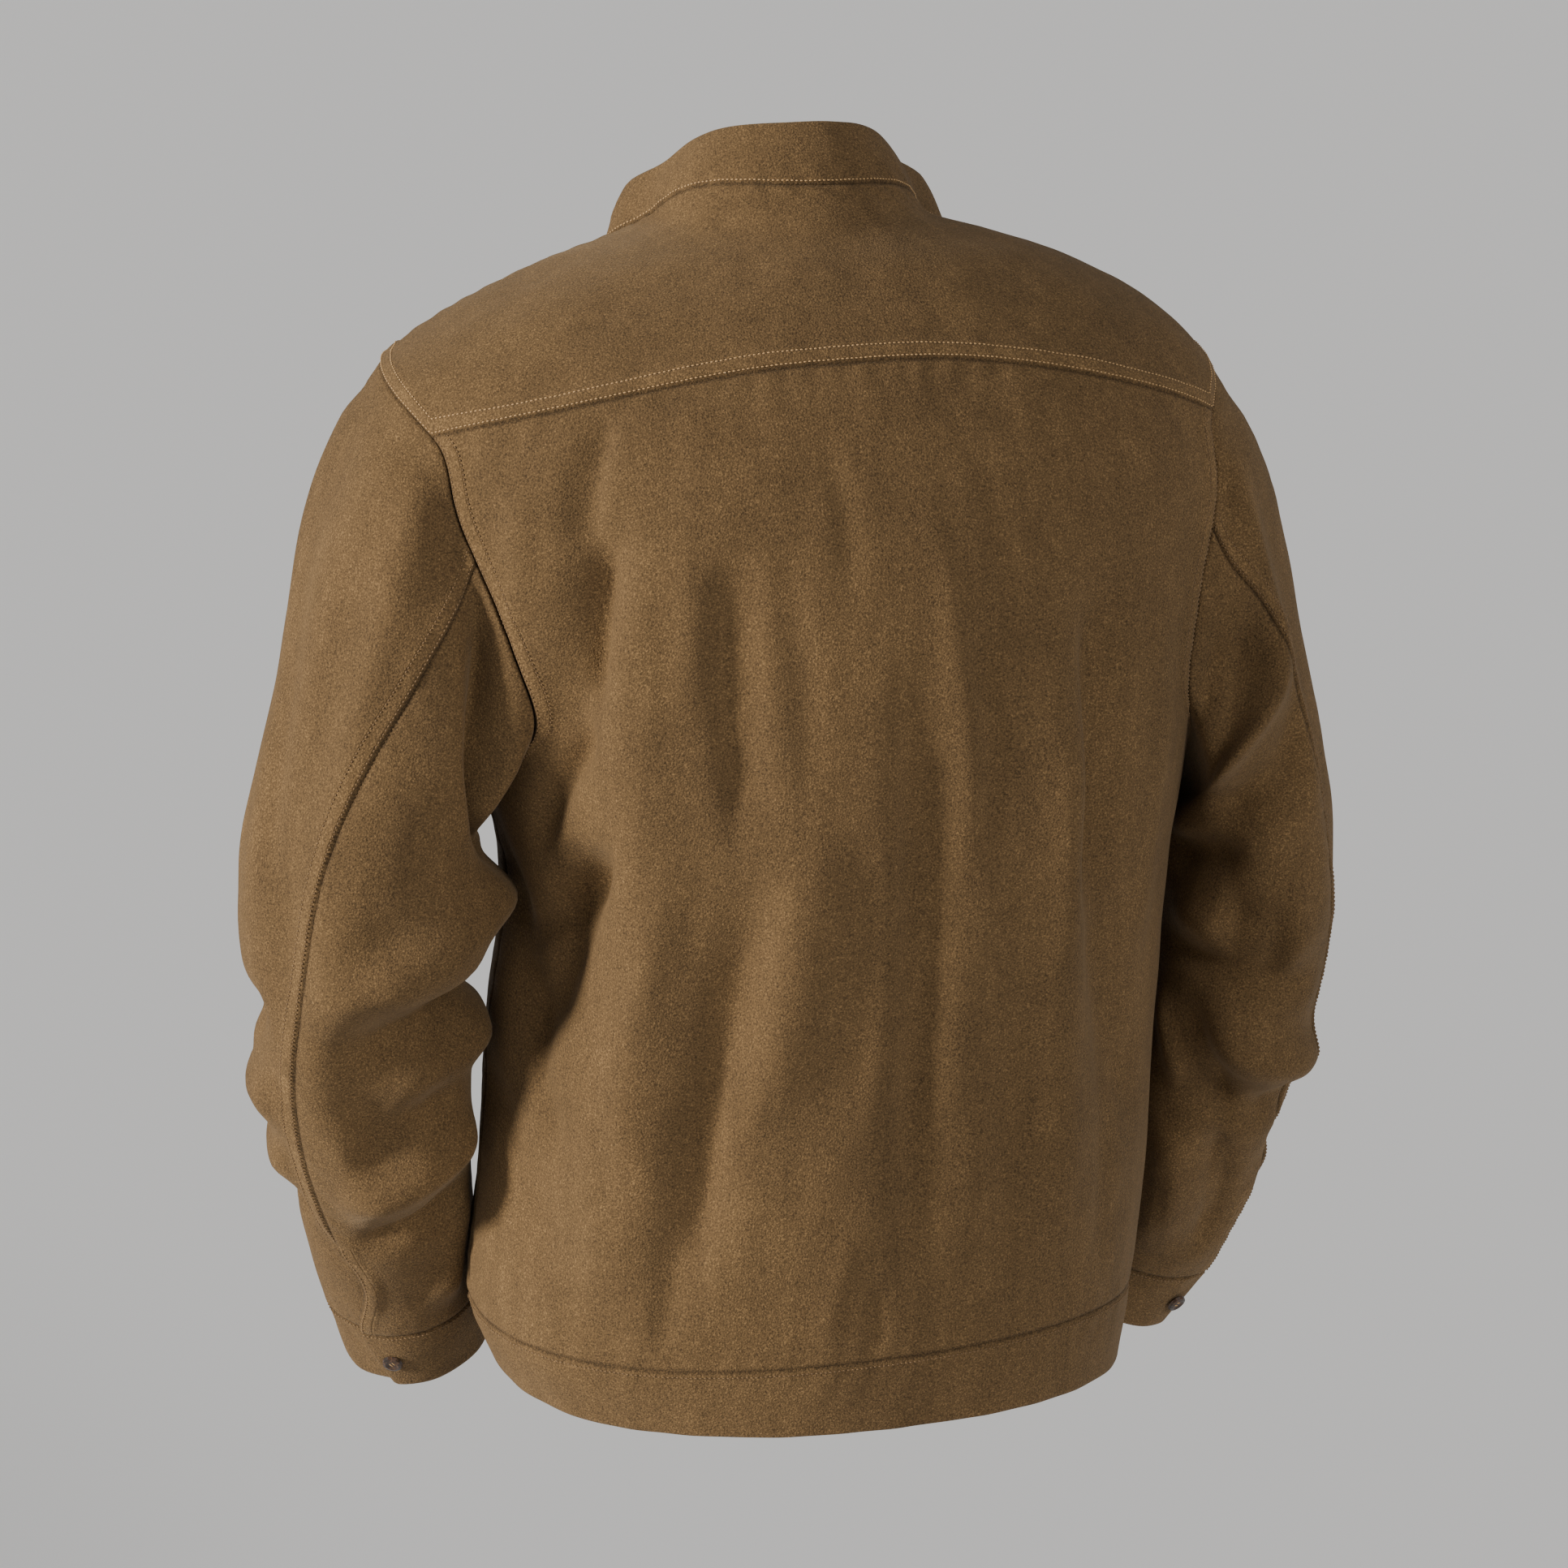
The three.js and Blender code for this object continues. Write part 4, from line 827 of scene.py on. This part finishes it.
for side_name, arm in arms.items():
    ring, side = arm["ring"], arm["side"]
    downs = lines((CUFF_START, CUFF_END, CUFF_END - CUFF_START))[:, None]
    place = lines((0, 1, 120), (1, 2, 150), (2, 3, 12))[None, :]
    seam = 360 + ring["back_seam"](downs)
    under = mix(ring["back_seam"](downs) + VENT_OPENING, ring["front_seam"](downs), place)
    upper = mix(ring["front_seam"](downs), seam, place - 1)
    lap = mix(seam, seam + CUFF_LAP, place - 2)
    turned = np.where(place < 1, under, np.where(place < 2, upper, lap))
    points = sleeve_point(side, ring, arm["folds"], turned, np.broadcast_to(downs, turned.shape))
    middle = np.stack([side * ring["x"](downs), ring["y"](downs), ring["z"](downs)], axis=-1)
    points = tucked(points, middle, turned, seam, 1)
    arm["cuff"] = cloth(f"{side_name}_cuff", points, DOUBLED_SUEDE, middle, free=("high", "first", "last"))

# The topstitching: rows of short stitches in a tan thread, each stitch a plump dot that sinks at
# both ends, laid along lines that keep their distance from a seam.
ROW_ONE = 2.2
ROW_TWO = 9.5
PITCH = 2.5
STITCH = 1.7
THREAD = 0.46
PALE_ROWS = ("yoke_stitches", "collar_stitches")
BORE = 0.12


def seam_line(panel, edge, away, keep=slice(3, -3)):
    """The line on a panel that keeps one distance from an edge: its points and its normals."""
    outer, normal, distance = panel["outer"], panel["normal"], panel["distance"][edge]
    if edge in ("low", "high"):
        outer, normal, distance = outer.swapaxes(0, 1), normal.swapaxes(0, 1), distance.swapaxes(0, 1)
    if edge in ("high", "last"):
        outer, normal, distance = outer[:, ::-1], normal[:, ::-1], distance[:, ::-1]
    points, normals = [], []
    for line, facings, off in list(zip(outer, normal, distance))[keep]:
        points.append([np.interp(away, off, line[:, k]) for k in range(3)])
        normals.append([np.interp(away, off, facings[:, k]) for k in range(3)])
    return np.array(points), np.array(normals)


def stitch_tree():
    """Geometry nodes that lay one stitch after another along the lines of a mesh."""
    tree = bpy.data.node_groups.new("stitches", "GeometryNodeTree")
    tree.interface.new_socket("Geometry", in_out="INPUT", socket_type="NodeSocketGeometry")
    for name in ("Pitch", "Stitch Length", "Thread Radius"):
        tree.interface.new_socket(name, in_out="INPUT", socket_type="NodeSocketFloat")
    tree.interface.new_socket("Material", in_out="INPUT", socket_type="NodeSocketMaterial")
    tree.interface.new_socket("Geometry", in_out="OUTPUT", socket_type="NodeSocketGeometry")
    nodes, links = tree.nodes, tree.links
    given = nodes.new("NodeGroupInput")
    made = nodes.new("NodeGroupOutput")
    to_curve = nodes.new("GeometryNodeMeshToCurve")
    even = nodes.new("GeometryNodeResampleCurve")
    even.mode = "LENGTH"
    stitch = nodes.new("GeometryNodeMeshUVSphere")
    stitch.inputs["Segments"].default_value = 6
    stitch.inputs["Rings"].default_value = 4
    stitch.inputs["Radius"].default_value = 1
    size = nodes.new("ShaderNodeCombineXYZ")
    half = nodes.new("ShaderNodeMath")
    half.operation = "MULTIPLY"
    half.inputs[1].default_value = 0.5
    shaped = nodes.new("GeometryNodeTransform")
    facing_out = nodes.new("GeometryNodeInputNamedAttribute")
    facing_out.data_type = "FLOAT_VECTOR"
    facing_out.inputs["Name"].default_value = "facing"
    tangent = nodes.new("GeometryNodeInputTangent")
    turned_to = nodes.new("FunctionNodeAxesToRotation")
    turned_to.primary_axis = "Z"
    turned_to.secondary_axis = "X"
    on_points = nodes.new("GeometryNodeInstanceOnPoints")
    real = nodes.new("GeometryNodeRealizeInstances")
    painted = nodes.new("GeometryNodeSetMaterial")
    links.new(given.outputs["Geometry"], to_curve.inputs["Mesh"])
    links.new(to_curve.outputs["Curve"], even.inputs["Curve"])
    links.new(given.outputs["Pitch"], even.inputs["Length"])
    links.new(given.outputs["Stitch Length"], half.inputs[0])
    links.new(half.outputs[0], size.inputs["X"])
    links.new(given.outputs["Thread Radius"], size.inputs["Y"])
    links.new(given.outputs["Thread Radius"], size.inputs["Z"])
    links.new(stitch.outputs["Mesh"], shaped.inputs["Geometry"])
    links.new(size.outputs["Vector"], shaped.inputs["Scale"])
    links.new(even.outputs["Curve"], on_points.inputs["Points"])
    links.new(shaped.outputs["Geometry"], on_points.inputs["Instance"])
    links.new(facing_out.outputs["Attribute"], turned_to.inputs[0])
    links.new(tangent.outputs["Tangent"], turned_to.inputs[1])
    links.new(turned_to.outputs["Rotation"], on_points.inputs["Rotation"])
    links.new(on_points.outputs["Instances"], real.inputs["Geometry"])
    links.new(real.outputs["Geometry"], painted.inputs["Geometry"])
    links.new(given.outputs["Material"], painted.inputs["Material"])
    links.new(painted.outputs["Geometry"], made.inputs["Geometry"])
    return tree


def thread_finish(name, dark, light):
    material, shader, shade = finish(name)
    tone = cloud(shade, shade.node("ShaderNodeTexCoord", output=3), 900, 2)
    colour = colour_mix(shade, tone, dark, light)
    material.node_tree.links.new(colour.socket, shader.inputs["Base Color"])
    shader.inputs["Roughness"].default_value = 0.7
    return material


# The yoke's and the collar's thread is paler than the suede, the others' is close to it.
pale_thread = thread_finish("pale_thread", plain(140, 108, 68), plain(206, 168, 118))
suede_thread = thread_finish("suede_thread", plain(78, 58, 36), plain(136, 106, 68))
stitching = stitch_tree()


def sew(name, rows):
    """All the stitches of one part of the jacket, as one mesh."""
    points = np.concatenate([row[0] + row[1] * BORE for row in rows]) / 1000
    normals = np.concatenate([row[1] for row in rows])
    edges, start = [], 0
    for row, _ in rows:
        edges += [(start + k, start + k + 1) for k in range(len(row) - 1)]
        start += len(row)
    mesh = bpy.data.meshes.new(name + "_lines")
    mesh.from_pydata(points.tolist(), edges, [])
    made = mesh.attributes.new("facing", "FLOAT_VECTOR", "POINT")
    made.data.foreach_set("vector", normals.astype(np.float32).ravel())
    guide = bpy.data.objects.new(name + "_lines", mesh)
    bpy.context.scene.collection.objects.link(guide)
    modifier = guide.modifiers.new("stitches", "NODES")
    modifier.node_group = stitching
    values = {
        "Pitch": PITCH / 1000,
        "Stitch Length": STITCH / 1000,
        "Thread Radius": THREAD / 1000,
        "Material": pale_thread if name in PALE_ROWS else suede_thread,
    }
    for item in stitching.interface.items_tree:
        if item.in_out == "INPUT" and item.name in values:
            modifier[item.identifier] = values[item.name]
    bpy.context.view_layer.update()
    evaluated = guide.evaluated_get(bpy.context.evaluated_depsgraph_get())
    plain_mesh = bpy.data.meshes.new_from_object(evaluated)
    bpy.data.objects.remove(guide)
    plain_mesh.polygons.foreach_set("use_smooth", [True] * len(plain_mesh.polygons))
    piece = bpy.data.objects.new(name, plain_mesh)
    bpy.context.scene.collection.objects.link(piece)
    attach(piece, "root")
    return piece


def beside(panel, edge, keep=slice(3, -3), rows=(ROW_ONE, ROW_TWO)):
    """The stitch lines along one edge of a panel."""
    return [seam_line(panel, edge, away, keep) for away in rows]


def hole_rows(hole):
    return slice(int(np.flatnonzero(hole > 0.5)[0]) + 2, -2)


back_holes = [line for edge in ("first", "last") for line in beside(back, edge, hole_rows(back_hole))]
SHEETS = [
    (back, "hung", ["back_yoke"], [sew("back_armhole_stitches", back_holes)]),
    (yoke, "draped", [], [sew("yoke_stitches", beside(yoke, "low"))]),
    (collar, "hung", ["back_yoke"], [sew("collar_stitches", beside(collar, "low", rows=(ROW_ONE,)))]),
    (hem, "hung", ["back_panel"], [sew("hem_stitches", beside(hem, "low", rows=(ROW_ONE + 1,)))]),
]
for side_name, arm in arms.items():
    panel = fronts[side_name]
    closing_rows = slice(3, int(np.flatnonzero(front_closing)[-1]) - 2)
    front_rows = beside(panel, "first", hole_rows(front_hole)) + beside(panel, "last", closing_rows)
    front_thread = sew(f"{side_name}_front_stitches", front_rows)
    seam_thread = sew(f"{side_name}_sleeve_stitches", beside(arm["upper"], "last", slice(3, arm["vent_row"])))
    vent_rows = beside(arm["under"], "first", slice(arm["vent_row"], -2), rows=(ROW_ONE + 1,))
    vent_thread = sew(f"{side_name}_vent_stitches", vent_rows)
    cuff_thread = sew(f"{side_name}_cuff_stitches", beside(arm["cuff"], "low", rows=(ROW_ONE,)))
    SHEETS += [
        (panel, "hung", ["back_yoke"], [front_thread]),
        (arm["upper"], "hung", ["back_yoke"], [seam_thread]),
        (arm["under"], "hung", ["back_panel"], [vent_thread]),
        (arm["cuff"], "hung", [f"{side_name}_upper_sleeve"], [cuff_thread]),
    ]
for panel, held, rests_on, threads in SHEETS:
    width, length = panel["flat"]
    print("CUT", panel["piece"].name, round(width, 3), round(length, 3), round(panel["area"], 4))

# The buttons: dark horn, turned, with a rounded rim and a dished face, sewn on with two bars of the same thread.
# Their four holes are painted shade: flat near-black discs on the face, not openings. They stand where the solids'
# buttons do.
horn, horn_shader, horn_shade = finish("horn")
horn_place = horn_shade.node("ShaderNodeTexCoord", output=3)
horn_grain = cloud(horn_shade, horn_place, 240, 4, 0.6, 1.5)
horn_colour = colour_mix(horn_shade, horn_grain.step(0.35, 0.7), plain(34, 22, 15), plain(84, 58, 38))
horn_rough = 0.3 + horn_grain * 0.2
horn.node_tree.links.new(horn_colour.socket, horn_shader.inputs["Base Color"])
horn.node_tree.links.new(horn_rough.socket, horn_shader.inputs["Roughness"])
horn_shader.inputs["Coat Weight"].default_value = 0.15
# Painted shade for the buttons' holes: a near-black finish for flat discs laid on the face.
painted_hole_shade, painted_hole_shader, hole_shade = finish("painted_hole_shade_finish")
painted_hole_shader.inputs["Base Color"].default_value = plain(14, 9, 6)
painted_hole_shader.inputs["Roughness"].default_value = 0.9
DISH_HEIGHT = 0.0021


def beads(name, material, places):
    """Plump beads in one mesh, each laid at a centre along its three half axes."""
    made = bmesh.new()
    for centre, axes in places:
        place = Matrix(np.transpose(axes).tolist()).to_4x4()
        place.translation = Vector(centre)
        bmesh.ops.create_uvsphere(made, u_segments=8, v_segments=6, radius=1, matrix=place)
    mesh = bpy.data.meshes.new(name)
    made.to_mesh(mesh)
    made.free()
    mesh.polygons.foreach_set("use_smooth", [True] * len(mesh.polygons))
    mesh.materials.append(material)
    piece = bpy.data.objects.new(name, mesh)
    bpy.context.scene.collection.objects.link(piece)
    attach(piece, "root")


painted_hole_discs, bars = [], []
for node_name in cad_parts:
    if "button" not in node_name:
        continue
    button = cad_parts[node_name]
    button.data.materials.clear()
    button.data.materials.append(horn)
    corners = np.array([button.matrix_world @ vertex.co for vertex in button.data.vertices])
    centre = (corners.min(axis=0) + corners.max(axis=0)) / 2
    first, second, out = np.linalg.svd(corners - corners.mean(axis=0), full_matrices=False)[2]
    if "cuff" in node_name:
        arm = arms[node_name.split("_")[0]]
        ring = arm["ring"]
        wrist = np.array([arm["side"] * ring["x"](480), ring["y"](480), ring["z"](480)]) / 1000
    else:
        wrist = np.array([0, 0, centre[2]])
    out = out * np.sign(out @ (centre - wrist))
    radius = np.abs((corners - centre) @ first).max()
    face = centre + out * (((corners - centre) @ out).min() + DISH_HEIGHT)
    for k in (-1, 1):
        bar_axes = (first * radius * 0.27, second * 0.0004, out * 0.00045)
        bars.append((face + second * k * 0.18 * radius + out * 0.0001, bar_axes))
        for j in (-1, 1):
            # Each hole is a flat near-black disc of painted shade, not an opening in the button.
            painted_hole_axes = (first * radius * 0.09, second * radius * 0.09, out * 0.00012)
            painted_hole_discs.append((face + (second * k * 0.18 + first * j * 0.22) * radius, painted_hole_axes))
# The discs of painted hole shade, and the thread bars that sew the buttons on.
beads("painted_hole_shades", painted_hole_shade, painted_hole_discs)
beads("button_threads", pale_thread, bars)

# The floor and the light: a pale plain floor at the height a wearer would stand on, a broad soft
# light from the left of the picture, a weaker one from the right and a pale sky.
floor_mesh = bpy.data.meshes.new("floor")
FLOOR_HALF = 400
FLOOR_Z = -1.45
corners = [(-1, -1), (1, -1), (1, 1), (-1, 1)]
floor_mesh.from_pydata([(x * FLOOR_HALF, y * FLOOR_HALF, FLOOR_Z) for x, y in corners], [], [(0, 1, 2, 3)])
floor = bpy.data.objects.new("floor", floor_mesh)
bpy.context.scene.collection.objects.link(floor)
floor_paint, floor_shader, floor_shade = finish("floor")
floor_shader.inputs["Base Color"].default_value = (0.9, 0.9, 0.9, 1)
floor_shader.inputs["Roughness"].default_value = 0.9
floor_mesh.materials.append(floor_paint)

LIGHTS = (
    # name, where it comes from, strength, breadth in degrees, colour
    ("key", (0.97, 0.10, 0.16), 5.7, 10, (1.0, 0.96, 0.89)),
    ("fill", (-0.30, 0.85, 0.42), 1.4, 22, (1.0, 0.99, 0.98)),
)
for name, origin, strength, breadth, colour in LIGHTS:
    lamp = bpy.data.lights.new(name, "SUN")
    lamp.energy = strength
    lamp.angle = math.radians(breadth)
    lamp.color = colour
    light = bpy.data.objects.new(name, lamp)
    light.rotation_euler = Vector(origin).to_track_quat("Z", "Y").to_euler()
    bpy.context.scene.collection.objects.link(light)
sky = bpy.data.worlds.new("sky")
sky.use_nodes = True
sky.node_tree.nodes["Background"].inputs["Color"].default_value = (0.95, 0.96, 1.0, 1)
sky.node_tree.nodes["Background"].inputs["Strength"].default_value = 0.24
bpy.context.scene.world = sky
